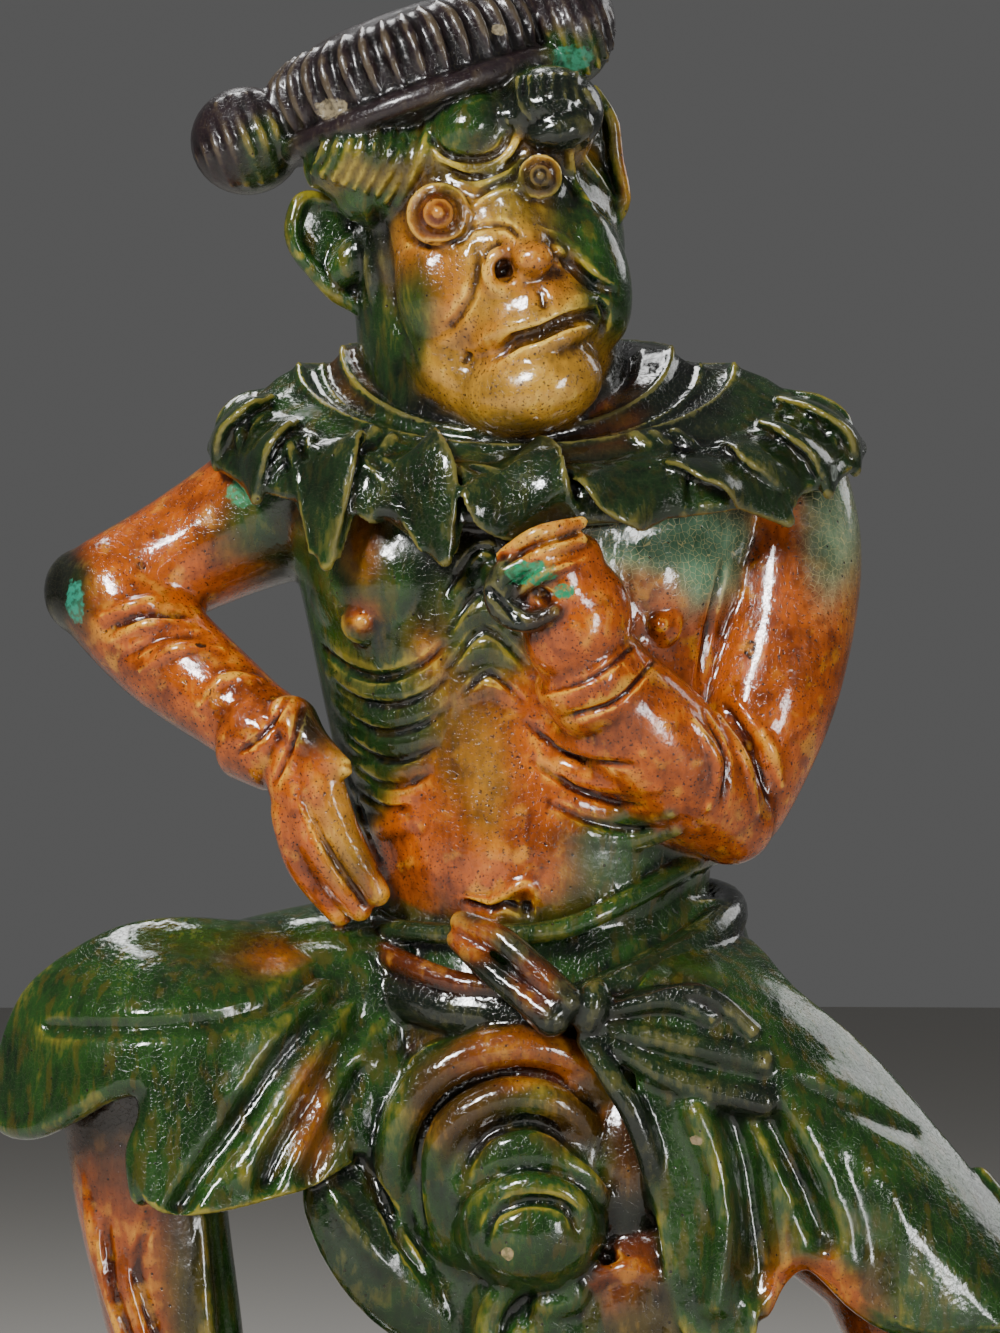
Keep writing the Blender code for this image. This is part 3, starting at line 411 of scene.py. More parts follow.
def hands(clay):
    """Fingers, cuffs, knuckles and sleeve creases."""
    clay.form = "right hand"
    clay.coil([(-106, -28, 341), (-95, -36, 334)], [21, 18.5], blunt=0.45)
    for finger, set_back in (
        (((-80, 328), (-71, 302), (-57, 277)), -53),
        (((-87, 318), (-79, 293), (-64, 271)), -50),
        (((-92, 310), (-86, 288), (-72, 269)), -44),
    ):
        clay.coil([(x, set_back - 0.02 * (320 - z), z) for x, z in finger], [(9, 7.5), (8, 7), (5.6, 5.4)])
    clay.coil([(-91, -42, 348), (-83, -52, 337), (-70, -58, 327)], [(12, 8), (8.5, 7), (4.6, 4.4)])
    clay.form = "right sleeve"
    for line in (
        ((-168, 388), (-150, 393), (-128, 391)),
        ((-164, 378), (-150, 384), (-134, 384)),
        ((-152, 366), (-138, 374), (-120, 374)),
        ((-128, 352), (-118, 362), (-104, 362)),
    ):
        clay.laid(line, 0.8, [2.0, 3.4, 1.6])
    clay.form = "fist"
    clay.coil([(33, -72, 358), (25, -77, 368)], [23.5, 23], blunt=0.45)
    for k in range(3):
        knuckle = [(-8 + 3 * k, -100, 411 - 8 * k), (6 + 2 * k, -107, 419 - 7 * k), (24, -101, 424 - 7 * k)]
        clay.coil([(x, y + 1.5, z) for x, y, z in knuckle], [2, 3.4, 2.6])
    clay.form = "fist thumb"
    thumb = [(4, -103, 408), (-5, -101, 405), (-9, -98, 396), (-5, -98, 388), (4, -101, 385), (13, -103, 389)]
    clay.coil(thumb, [3.6, 5.4, 6, 5.6, 4.6, 3])
    clay.form = "left sleeve"
    for line in (
        ((68, 346), (77, 330), (74, 312)),
        ((78, 348), (88, 330), (94, 310)),
        ((88, 352), (99, 336), (104, 320)),
    ):
        clay.laid(line, 0.6, [1.8, 3.6, 2.0])


def nose(clay):
    """A snub nose, with the ringed nostril that faces the viewer."""
    clay.lump(clay.front(5, 529, 1.5), (8.5, 8, 7.5))
    x, y, z = clay.front(-6, 524, 2)
    ring = [(x + 6.8 * math.cos(a), y - 3, z + 7.6 * math.sin(a)) for a in ring_of(10)]
    clay.coil(ring, [3.0] * 10, closed=True)
    clay.lump(clay.front(14, 530, 1), (4.6, 6, 5.6))


def eyes(clay):
    """Bulging eyeballs, each in a raised round socket, a ring and a pupil raised on the ball."""
    for x, z, socket, ball in EYES:
        middle = clay.front(x, z)[1] + 1
        ring = [
            (x + socket * math.cos(a), middle - 0.5 + 2.0 * abs(math.cos(a)), z + socket * math.sin(a))
            for a in ring_of(12)
        ]
        clay.form = "head"
        clay.coil(ring, [socket * 0.2] * 12, closed=True)
        clay.form = "eyes"
        clay.lump((x, middle, z), (ball, ball, ball))
        wide = ball * 0.58
        top = middle - math.sqrt(ball * ball - wide * wide)
        rim = [(x + wide * math.cos(a), top, z + wide * math.sin(a)) for a in ring_of(10)]
        clay.coil(rim, [ball * 0.13] * 10, closed=True)
        clay.lump((x, middle - ball, z), (ball * 0.34, 2.0, ball * 0.34))
    clay.form = "head"


# Low rolls of the face: the points each passes as (across, up), its radii, and how deep it is set
FACE_ROLLS = (
    (((-19, 492), (-12, 499), (0, 503), (10, 505.5), (17, 509.5), (25, 513), (31, 511), (33.5, 504)),
     (1.6, 3.2, 3.8, 3.8, 3.6, 3.4, 2.8, 1.6), 1.0),
    (((-7, 489), (2, 492.5), (12, 496.5), (22, 500), (30, 503)), (1.6, 3.8, 4.6, 4.0, 2.0), 0.9),
    (((3, 516), (5, 506)), (2.0, 2.6), 0.9),
    (((12, 520), (14, 509.5)), (2.2, 2.8), 0.9),
    (((-21, 509), (-27, 499), (-37, 494)), (1.0, 2.0, 1.0), 0.9),
    (((8, 541), (15, 538), (22, 532.5), (29, 525), (37, 520)), (1.2, 2.4, 3.0, 2.4, 1.2), 1.0),
    (((-19, 549), (-12, 554), (-4, 556.5), (1, 559)), (1.2, 2.2, 2.2, 1.2), 0.8),
    (((20, 574), (21, 562), (27, 552), (36, 546)), (1.4, 2.6, 2.4, 1.2), 0.6),
    (((25, 572), (31, 563), (39, 553)), (1.4, 2.6, 1.4), 0.6),
)


def face(clay):
    """Nose, eyes, and the low rolls of lips, philtrum, cheek folds and eyelids."""
    clay.form = "head"
    nose(clay)
    eyes(clay)
    for line, radii, depth in FACE_ROLLS:
        clay.laid(line, depth, radii)


def ears(clay):
    """The pointed ear at -X, and the edge of the other beyond the temple."""
    clay.form = "right ear"
    near = [
        (-87, 557), (-93, 546), (-91, 537), (-85, 528), (-76, 518), (-67, 512), (-58, 500), (-51, 503),
        (-50, 520), (-54, 540), (-66, 550),
    ]
    clay.sheet(near, lambda x, z: -10 + 0.25 * (x + 90), 9)
    rim = (
        (-62, 552), (-78, 556), (-88, 556), (-92, 545), (-90, 536), (-84, 528), (-75, 518), (-65, 512),
        (-56, 502),
    )
    clay.coil([(x, -14 + 0.25 * (x + 90), z) for x, z in rim], [2.2, 2.8, 3.2, 3.4, 3.4, 3.4, 3.4, 3.2, 2.6])
    clay.lump((-68, -10, 532), (9, 8, 13), lean=(0, 35, 0))
    clay.coil([(-57, -20, 545), (-60, -24, 530), (-57, -22, 512), (-52, -24, 502)], [2.5, 3.4, 3.2, 2.4])
    clay.form = "left ear"
    far = [(28, 602), (35, 592), (38, 576), (41, 558), (38, 545), (30, 546), (24, 564), (22, 590)]
    clay.sheet(far, lambda x, z: -8 + 0.3 * (x - 28), 9)
    edge = [(30, -14, 600), (37, -13, 588), (39, -12, 573), (42, -12, 556), (38, -14, 546)]
    clay.coil(edge, [2.4, 3, 3, 3, 2.4])


def brow_locks(clay):
    """Curling locks over the brow tufts, the furrowed bump and the glassy knob between them."""
    clay.form = "knob"
    clay.lump((16, -53, 581), (14, 10, 8.5), lean=(0, -14, 0))
    clay.form = "brows"
    locks = 9
    for k in range(locks):
        share = k / (locks - 1)
        top = (-78 + 43 * share, 584 + 6 * share)
        foot = (-83 + 34 * share, 565 - 13 * share)
        middle = ((top[0] + foot[0]) / 2 + 3, (top[1] + foot[1]) / 2 + 1)
        clay.laid((top, middle, foot), -1.0, [1.7, 2.5, 1.4])
    turns = ((9, 1.6), (8, 3.0), (7, 4.4), (4, 5.8))
    curl = [(-82 + r * math.cos(a), 567 + r * math.sin(a)) for r, a in turns]
    clay.laid(curl, -1.0, [1.8, 2.4, 2.4, 2.0])
    for k in range(locks):
        share = k / (locks - 1)
        top = (-10 + 37 * share, 601 + 3 * share)
        foot = (2 + 28 * share, 578 + 12 * share)
        middle = ((top[0] + foot[0]) / 2 - 3, (top[1] + foot[1]) / 2 - 1)
        clay.laid((top, middle, foot), -1.0, [1.6, 2.2, 1.5])
    clay.form = "head"
    for furrow in (
        ((-37, 579), (-31, 570), (-20, 565.5), (-9, 567.5), (-2, 576), (2, 588)),
        ((-30, 562.5), (-20, 558.5), (-10, 560), (-2, 566), (3, 573)),
    ):
        clay.laid(furrow, 0.7, [1.4, *[2.6] * (len(furrow) - 2), 1.4])


def hat(clay):
    """The fluted cap: a smooth rim band, a ribbed crown and a fluted puff at each side."""
    clay.form = "hat"
    clay.place = HAT
    profile = [(-10, 50), (-7, 55), (4, 56), (14, 56), (23, 54), (30, 48), (33, 36)]
    radii = [(r, r * HAT_OVAL) for z, r in profile]
    clay.coil([(0, 0, z) for z, r in profile], radii, across=LEFT_TO_RIGHT, blunt=0.1)
    rim = [(57 * math.cos(a), 53 * math.sin(a), -3) for a in ring_of(24)]
    clay.coil(rim, [5.2] * 24, closed=True)
    flutes = 36
    flute = ((56, 4), (57.2, 14), (54.7, 24), (46, 31))
    for k in range(flutes):
        angle = math.tau * (k + 0.5) / flutes
        c, s = math.cos(angle), math.sin(angle) * HAT_OVAL
        clay.coil([(r * c, r * s, z) for r, z in flute], [1.4, 2.3, 2.5, 1.4])
    puffs = (((-71, -2, 8), (23, 19, 22), (0, 20, 0)), ((68, -2, 6), (18, 18, 24), (0, 24, 0)))
    for centre, radii, lean in puffs:
        clay.lump(centre, radii, lean=lean)
        for k in range(9):
            angle = math.radians(-68 + 17 * k)
            bow = math.cos(angle)
            x = centre[0] + radii[0] * 0.92 * math.sin(angle)
            side = Vector((x, centre[1] - radii[1] * bow * 0.55, centre[2]))
            rise = Vector((0, 0, radii[2] * bow * 0.84))
            middle = Vector((x, centre[1] - radii[1] * bow - 0.5, centre[2]))
            clay.coil([side + rise, middle, side - rise], [1.4, 2.5, 1.4])
            other = Vector((0, 2 * (centre[1] - side.y), 0))
            outer = Vector((0, 2 * (centre[1] - middle.y), 0))
            clay.coil([side + other + rise, middle + outer, side + other - rise], [1.4, 2.5, 1.4])
    clay.place = Matrix.Identity(4)


# How much steeper the cape falls toward its hem, 1 being straight
CAPE_SLUMP = 1.7


def collar_point(angle, share, lift=0.0):
    """A point on the cape at an angle from +X, share 0 at its neck to 1 at its hem, raised by lift."""
    c, s = math.cos(angle), math.sin(angle)
    neck = Vector((-8 + 51 * c, 3 + 48 * s, 490 + 8 * max(s, 0) + 36 * min(s, 0)))
    hem = Vector((7 + 134 * c, 1 + 78 * s, 460 - 12 * max(s, 0) + 30 * min(s, 0)))
    x = neck.x + (hem.x - neck.x) * share
    y = neck.y + (hem.y - neck.y) * share
    return (x, y, neck.z + (hem.z - neck.z) * share**CAPE_SLUMP + lift)


# The cape's pointed leaves: angle from +X in degrees, its turn toward the tip, reach past the hem, and droop
LEAVES = (
    (184, 9, 0.98, 5), (202, 10, 1.0, 9), (222, 10, 1.09, 24), (240, 13, 1.06, 19), (262, 13, 0.96, 2),
    (284, 11, 0.96, 4), (304, 11, 1.04, 12), (323, -4, 1.0, 7), (339, -8, 1.0, 8), (356, -9, 0.98, 7),
    *((angle, 0, 1.02, 6) for angle in range(18, 172, 21)),
)


def cape(clay):
    """The feather cape: rolls round the neck over a ring of pointed leaves, each with slanting barbs."""
    clay.form = "cape roll"
    rolls = (
        (0.0, 2), (0.07, 7), (0.18, 7.5), (0.27, 3), (0.36, 3.5), (0.47, 7), (0.58, 6.5), (0.68, 4),
        (0.82, 4), (0.94, 2.5), (1.0, -3),
    )

    def section(angle):
        top = [collar_point(angle, share, lift) for share, lift in rolls]
        under = [collar_point(angle, share, drop) for share, drop in ((0.97, -8), (0.6, -22), (0.0, -30))]
        return top + under

    clay.wreath(section)
    clay.form = "cape"
    for degrees, skew, reach, droop in LEAVES:
        angle, twist = math.radians(degrees), math.radians(skew)
        width = 21 + 3 * abs(math.sin(angle))
        stations = ((0.66, 0.0, 2.0), (0.8, 0.25, 4.0), (0.94, 0.7, 2.0), (reach, 1.1, -droop))
        path = [collar_point(angle + twist * turn, share, lift) for share, turn, lift in stations]
        tangent = Vector((-math.sin(angle), math.cos(angle), 0))
        radii = [(width * 0.7, 2.5), (width, 4), (width * 0.85, 4), (3.6, 2.6)]
        clay.coil(path, radii, across=tangent, blunt=1.2)
        for barb in (-1.2, -0.4, 0.4, 1.2):
            spread = math.radians(barb * width * 0.42)
            stations = (
                (0.66, 1.2, -0.2, 4), (0.79, 1.0, 0.3, 6.6), (0.91, 0.7, 0.7, 5),
                (reach - 0.03, 0.25, 1.0, 2 - droop),
            )
            line = [
                collar_point(angle + spread * fan + twist * turn, share, lift)
                for share, fan, turn, lift in stations
            ]
            clay.coil(line, [1.2, 2.5, 2.2, 1.2])
    for share, lift, thick in ((0.19, 7.6, 1.6), (0.31, 3.2, 1.4), (0.45, 7, 1.5), (0.665, 3.4, 1.8)):
        clay.coil([collar_point(a, share, lift) for a in ring_of(40)], [thick] * 40, closed=True)
    pips = ((232, 0.52, 4.4), (238, 0.56, 4.2), (300, 0.5, 4.6), (304, 0.53, 4.6), (309, 0.56, 4.4))
    for turn, share, size in pips:
        angle = math.radians(turn)
        path = [collar_point(angle, share, 7), collar_point(angle, share + 0.09, 6)]
        clay.coil(path, [size * 0.8, size * 0.7])


def sash(clay):
    """Waistband, belt, knot, bow loop and the pleated sash ends."""
    clay.form = "waistband"
    band = [
        (-68, 0, 268), (-55, -38, 263), (-20, -61, 261), (15, -65, 263), (42, -58, 274), (66, -36, 287),
        (80, 0, 293), (56, 38, 292), (6, 50, 288), (-42, 38, 278),
    ]
    clay.coil(band, [4.5] * len(band), closed=True)
    clay.form = "belt"
    belt = [
        (-74, 0, 256), (-64, -30, 245), (-45, -53, 236), (-20, -65, 230), (10, -69, 230), (35, -67, 238),
        (60, -54, 250), (79, -30, 261), (84, 4, 270), (60, 40, 274), (6, 54, 275), (-46, 40, 268),
    ]
    clay.coil(belt, [(9.2, 7.4)] * len(belt), across=UPWARD, closed=True)
    clay.form = "belt edge"
    clay.coil([(-62, -32, 258), (-48, -52, 250), (-25, -65, 242), (0, -71, 240)], [4, 5, 5, 4])
    clay.form = "belt"
    clay.lump((28, -82, 233), (8, 9, 12), lean=(0, 15, 0))
    clay.form = "bow"
    clay.coil([(-23, -68, 266), (-8, -78, 260), (6, -84, 248), (18, -88, 236)], [5, 5.5, 6, 7])
    clay.coil([(-25, -68, 259), (-13, -78, 248), (0, -84, 238), (12, -88, 229)], [4.5, 5, 6, 8])
    clay.form = "fan"
    fan = [
        (32, 234), (55, 241), (76, 238), (91, 226), (98, 212), (101, 198), (98, 190), (80, 192),
        (60, 199), (42, 210), (30, 222),
    ]
    clay.sheet(fan, lambda x, z: -76, 9)
    for pleat, radii in (
        (((33, 231), (58, 236), (76, 228)), (3.5, 4.5, 3)),
        (((36, 232), (70, 239), (92, 223)), (3, 4, 3.5)),
        (((32, 225), (62, 219), (97, 211)), (4, 5.5, 5.5)),
        (((32, 221), (60, 205), (98, 195)), (4, 6, 6.5)),
    ):
        clay.coil([(x, -82, z) for x, z in pleat], radii, blunt=0.5)
    tail = [(26, -82, 220), (36, -86, 205), (45, -86, 190), (51, -83, 172), (53, -76, 154)]
    clay.coil(tail, [4.5, 5, 5.4, 5, 3])


def crown_height(depth):
    """The saddle's height, below the sole level, at a depth from its ridge line."""
    half = BASE_WIDTH / 2
    return (BASE_HEIGHT - BASE_LIP) * (math.sqrt(max(1 - (depth / half) ** 2, 0)) - 1)


def footing(depth):
    """How low clay reaches at a depth so that it is joined to the saddle."""
    return crown_height(depth) - FOOT_SINK


def boot(clay, heel, toe):
    """A boot from ankle to toe, whose sole goes down into the saddle under it."""
    clay.form = "boots"
    low = [footing(y) for y in (heel[1], (heel[1] + toe[1]) / 2, toe[1])]
    middle = ((heel[0] + toe[0]) / 2, (heel[1] + toe[1]) / 2)
    clay.coil([(heel[0], heel[1], 74), (heel[0], heel[1], 40), (heel[0], heel[1], 18)], [25, 23, 23])
    top = [(heel[0] + 24 * math.cos(a), heel[1] + 24 * math.sin(a), 70) for a in ring_of(14)]
    clay.coil(top, [5] * 14, closed=True)
    clay.coil([(*heel, low[0] + 22), (*middle, low[1] + 21), (*toe, low[2] + 17)], [24, 22, 16])
    sole = [(*heel, low[0] + 8), (*middle, low[1] + 8), (*toe, low[2] + 8)]
    clay.coil(sole, [(25, 9), (24, 9), (17, 9)], across=LEFT_TO_RIGHT)
    clay.coil([(*toe, low[2] + 18), (toe[0] + (toe[0] - heel[0]) * 0.22, toe[1] - 12, low[2] + 28)], [13, 7])


def trousers(clay):
    """Hanging folds on the shin at -X, and both boots."""
    clay.form = "right leg"
    for line in (
        ((-172, 172), (-168, 140), (-157, 98)),
        ((-150, 156), (-157, 130), (-147, 92)),
        ((-128, 150), (-126, 110), (-122, 80)),
    ):
        clay.coil([(x, -62 + 0.03 * (z - 90) + 0.25 * abs(x + 143), z) for x, z in line], [3, 5, 3])
    boot(clay, (-132, -22), (-148, -68))
    boot(clay, (168, -10), (196, -52))


def right_flap(clay):
    """The tunic skirt thrown over the raised thigh at -X."""
    clay.form = "right flap"
    outline = [
        (-62, 260), (-90, 263), (-115, 266), (-140, 267), (-162, 263), (-184, 251), (-199, 237),
        (-208, 216), (-211, 198), (-206, 186), (-194, 184), (-178, 191), (-162, 200), (-148, 202),
        (-146, 190), (-151, 176), (-149, 160), (-138, 152), (-118, 153), (-96, 158), (-78, 164),
        (-52, 186), (-42, 240),
    ]
    grooves = (
        (((-186, 224), (-150, 224.5), (-120, 227), (-100, 232), (-76, 247)), 5, 4.5),
        (((-134, 155), (-127, 166), (-113, 185), (-98, 209), (-84, 226), (-70, 239)), 7, 7),
        (((-101, 164), (-95, 178), (-84, 196), (-72, 215), (-60, 232)), 7, 7),
        (((-84, 164), (-76, 182), (-64, 206)), 6, 5),
        (((-112, 200), (-96, 220), (-80, 234)), 9, -3),
        (((-108, 168), (-90, 196), (-72, 220)), 9, -4),
    )

    def depth(x, z):
        side = 50 * (min(x + 140, 0) / 70) ** 2 + 20 * (max(x + 140, 0) / 70) ** 2
        top = 46 * (max(z - 216, 0) / 50) ** 2
        return -84 + side + top - 6 * max(216 - z, 0) / 60 + folds(grooves, x, z)

    clay.sheet(outline, depth, 11, pitch=2.0)
    clay.coil([(-70, -24, 238), (-110, -34, 240), (-150, -36, 236), (-182, -30, 220)], [24, 26, 28, 24])
    hem = outline[8:17]
    clay.coil([(x, depth(x, z) + 1, z) for x, z in hem], [5] * len(hem))


def left_flap(clay):
    """The tunic skirt that falls over the stretched leg at +X."""
    clay.form = "left flap"
    outline = [
        (86, 260), (110, 239), (132, 221), (150, 203), (166, 184), (184, 162), (200, 142), (209, 124),
        (208, 110), (196, 106), (180, 106), (162, 105), (146, 109), (132, 118), (120, 130), (112, 134),
        (102, 127), (95, 114), (90, 100), (66, 100), (52, 160), (46, 240),
    ]
    grooves = (
        (((110, 203), (130, 193), (156, 181)), 5, 4),
        (((103, 195), (112, 206), (134, 200)), 8, -2.5),
        (((96, 194), (103, 180), (114, 158), (120, 144)), 9, 7),
        (((84, 192), (90, 170), (94, 140), (96, 122)), 10, 8),
        (((90, 189), (99, 174), (108, 156)), 4, -2.5),
        (((110, 188), (120, 168), (127, 150), (130, 132)), 10, -4),
        (((69, 192), (77, 174), (81, 150), (77, 116)), 9, -7),
    )

    def depth(x, z):
        out = (x - 104) * 0.74 + (z - 198) * 0.67
        tucked = 26 * (max(z - 222, 0) / 34) ** 2
        side = min(34 * (max(out, 0) / 34) ** 2, 60)
        return -78 + side + 0.2 * max(x - 150, 0) + tucked + folds(grooves, x, z)

    clay.sheet(outline, depth, 11, pitch=2.0)
    clay.coil([(72, -34, 232), (112, -36, 196), (152, -36, 158), (186, -38, 128)], [26, 26, 24, 17])
    hem = outline[5:18]
    clay.coil([(x, depth(x, z) + 1, z) for x, z in hem], [5] * len(hem))


def middle_drapery(clay):
    """The panel between the legs: nested swags above a hanging end that stands on the saddle."""
    clay.form = "drapery"
    foot = footing(-62)
    panel = [
        (-44, 212), (-8, 222), (30, 218), (58, 196), (66, 160), (80, 122), (78, 70), (64, 20), (50, foot),
        (-8, foot), (-22, 30), (-34, 84), (-44, 120), (-52, 165),
    ]
    clay.sheet(panel, lambda x, z: -60 + 0.004 * (x - 8) ** 2 + 0.07 * (190 - z), 28)
    swags = (
        (
            ((-44, 138), (-50, 162), (-48, 184), (-39, 201), (-21, 213), (0, 217), (20, 212), (38, 198)),
            (10, 9), -71,
        ),
        (((-30, 148), (-33, 171), (-26, 187), (-9, 197), (8, 197), (23, 189), (32, 172)), (9.5, 8), -77),
        (((-22, 166), (-12, 176), (1, 180.5), (14, 178), (23, 170)), (4, 4), -84),
        (((-24, 158), (-17, 168), (-4, 174), (8, 174.5), (20, 170.5), (30, 162), (36, 150)), (3.8, 5), -86),
    )
    for line, (deep, wide), depth in swags:
        ends = [abs(2 * k / (len(line) - 1) - 1) ** 3 for k in range(len(line))]
        path = [(x, depth + 0.1 * (190 - z) + 9 * end, z) for (x, z), end in zip(line, ends)]
        clay.coil(path, [(deep * (1 - 0.6 * end), wide * (1 - 0.5 * end)) for end in ends], across=INWARD)
    clay.lump((-4, -58, 168), (44, 26, 48))
    clay.lump((22, -54, 104), (50, 25, 54))
    clay.lump((42, -60, 168), (17, 18, 38))
    clay.form = "pouch"
    clay.lump((4, -76, 145), (30, 24, 25))
    dome = [(-21, -78, 140), (-16, -86, 155), (3, -91, 163), (21, -90, 157), (29, -82, 141)]
    clay.coil(dome, [4, 6, 6.6, 6, 4])
    clay.lump((4, -82, 139), (19, 15, 14))
    for form, line, radius, depth in (
        ("pouch", ((-14, 96), (-12, 112), (-4, 123), (9, 127), (20, 123), (21, 117), (10, 115)), 5.6, -79),
        ("pouch", ((-4, 94), (3, 105), (13, 107), (22, 97)), 6.5, -75),
        ("side fold", ((28, 126), (40, 130), (52, 127), (61, 114), (58, 98), (50, 88)), 5, -77),
        ("side fold", ((60, 152), (67, 132), (70, 112), (68, 86)), 7, -68),
        ("drapery", ((-20, 92), (-12, 64), (-8, 30), (-2, foot + 12)), 8, -68),
        ("drapery", ((6, 92), (12, 60), (14, 30), (14, foot + 12)), 9, -70),
        ("drapery", ((30, 96), (38, 64), (38, 34), (32, foot + 12)), 9, -68),
        ("drapery", ((58, 84), (58, 54), (54, 28), (48, foot + 12)), 8, -62),
    ):
        clay.form = form
        clay.coil([(x, depth + 0.05 * (120 - z), z) for x, z in line], [radius] * len(line))
    clay.form = "side fold"
    clay.lump((46, -66, 116), (22, 16, 30))
    clay.form = "drapery"
    leaf = [(-82, -56, 176), (-74, -64, 156), (-58, -66, 132), (-42, -62, 112), (-24, -58, 100)]
    clay.coil(leaf, [(3, 3), (13, 7), (17, 8), (14, 7), (8, 5)], across=(1, 0, 0.6), blunt=1.5)
    clay.coil([(-79, -66, 166), (-69, -71, 150), (-55, -71, 132), (-38, -66, 116)], [2.4, 4.5, 4.5, 2.4])
    clay.coil([(-56, -42, 200), (-60, -46, 166), (-40, -48, 124)], [22, 20, 14])


def back_skirt(clay):
    """The tunic's back: a flared skirt with soft folds, and a tail that stands on the saddle."""
    clay.form = "back skirt"

    def section(angle):
        row = []
        for share, reach, thickness in ((0.0, 0.0, 5), (0.35, 8, 6), (0.7, 17, 6), (1.0, 24, 5)):
            ripple = 3.0 * math.sin(9 * angle) * share
            wide, deep = 74 + reach * 1.2 + ripple, 50 + reach + ripple
            row.append((wide, deep, 274 - 104 * share, thickness))
        c, s = math.cos(angle), math.sin(angle)
        outer = [(9 + (w + t) * c, 2 + (d + t) * s, z) for w, d, z, t in row]
        inner = [(9 + (w - 16) * c, 2 + (d - 16) * s, z) for w, d, z, t in reversed(row)]
        return outer + inner

    clay.wreath(section)
    tail = [(8, 44, 190), (8, 50, 140), (8, 46, 90), (8, 34, 40), (8, 24, footing(44))]
    clay.coil(tail, [(70, 20), (62, 20), (52, 18), (46, 18), (46, 18)], across=LEFT_TO_RIGHT, blunt=0.3)
    for across in (-34, -12, 12, 34):
        stations = ((1.4, 60, 186), (1.2, 68, 140), (1, 62, 90), (0.9, 48, 36))
        clay.coil([(8 + across * spread, y, z) for spread, y, z in stations], [5, 8, 8, 6])


def saddle_base(clay):
    """The ridge-tile saddle under the feet: square-cut ends, upright lips and a low arched crown."""
    clay.form = "base"
    half = BASE_WIDTH / 2
    steps = 160
    rise = BASE_HEIGHT - BASE_LIP
    turns = [math.pi * k / steps for k in range(steps + 1)]
    arch = [(half * math.cos(a), BASE_LIP + rise * math.sin(a)) for a in turns]
    section = [(-half, -BASE_HEIGHT), (half, -BASE_HEIGHT)] + [(y, z - BASE_HEIGHT) for y, z in arch]
    ends = [[(side * BASE_LENGTH / 2, y, z) for y, z in section] for side in (-1, 1)]
    count = len(section)
    faces = [tuple(range(count)), tuple(reversed(range(count, 2 * count)))]
    for k in range(count):
        after = (k + 1) % count
        faces.append((after, k, count + k, count + after))
    clay.add(ends[0] + ends[1], faces)


def melted(clay, grain, sponging, name):
    """The clay as one skin on a voxel grid, sponged smooth; returns its object."""
    mesh = bpy.data.meshes.new(name)
    mesh.from_pydata(clay.points, [], clay.faces)
    lump = bpy.data.objects.new(name, mesh)
    bpy.context.scene.collection.objects.link(lump)
    melt = lump.modifiers.new("one skin", "REMESH")
    melt.mode = "VOXEL"
    melt.voxel_size = grain
    sponge = lump.modifiers.new("sponged smooth", "SMOOTH")
    sponge.iterations = sponging
    sponge.factor = 0.5
    return fixed(lump)


def fixed(lump):
    """Takes an object's modifiers as its own mesh."""
    graph = bpy.context.evaluated_depsgraph_get()
    made = bpy.data.meshes.new_from_object(lump.evaluated_get(graph))
    old = lump.data
    lump.modifiers.clear()
    lump.data = made
    bpy.data.meshes.remove(old)
    return lump


def spots_of(mesh, what="co"):
    """The mesh's points, or its point normals, as rows."""
    rows = np.empty(len(mesh.vertices) * 3, np.float32)
    source = mesh.vertices if what == "co" else mesh.vertex_normals
    source.foreach_get("co" if what == "co" else "vector", rows)
    return rows.reshape(-1, 3).astype(float)


def edges_of(mesh):
    """The two points of each of the mesh's edges, as rows."""
    pairs = np.empty(len(mesh.edges) * 2, np.int32)
    mesh.edges.foreach_get("vertices", pairs)
    return pairs.reshape(-1, 2)


def neighbour_means(values, pairs, passes):
    """The values averaged over each point's neighbours, the given number of times."""
    count = len(values)
    a, b = pairs[:, 0], pairs[:, 1]
    degree = np.bincount(a, minlength=count) + np.bincount(b, minlength=count)
    columns = [values[:, k].copy() for k in range(values.shape[1])]
    for _ in range(passes):
        for k, column in enumerate(columns):
            total = np.bincount(a, column[b], count) + np.bincount(b, column[a], count)
            columns[k] = 0.5 * column + 0.5 * total / degree
    return np.stack(columns, 1)


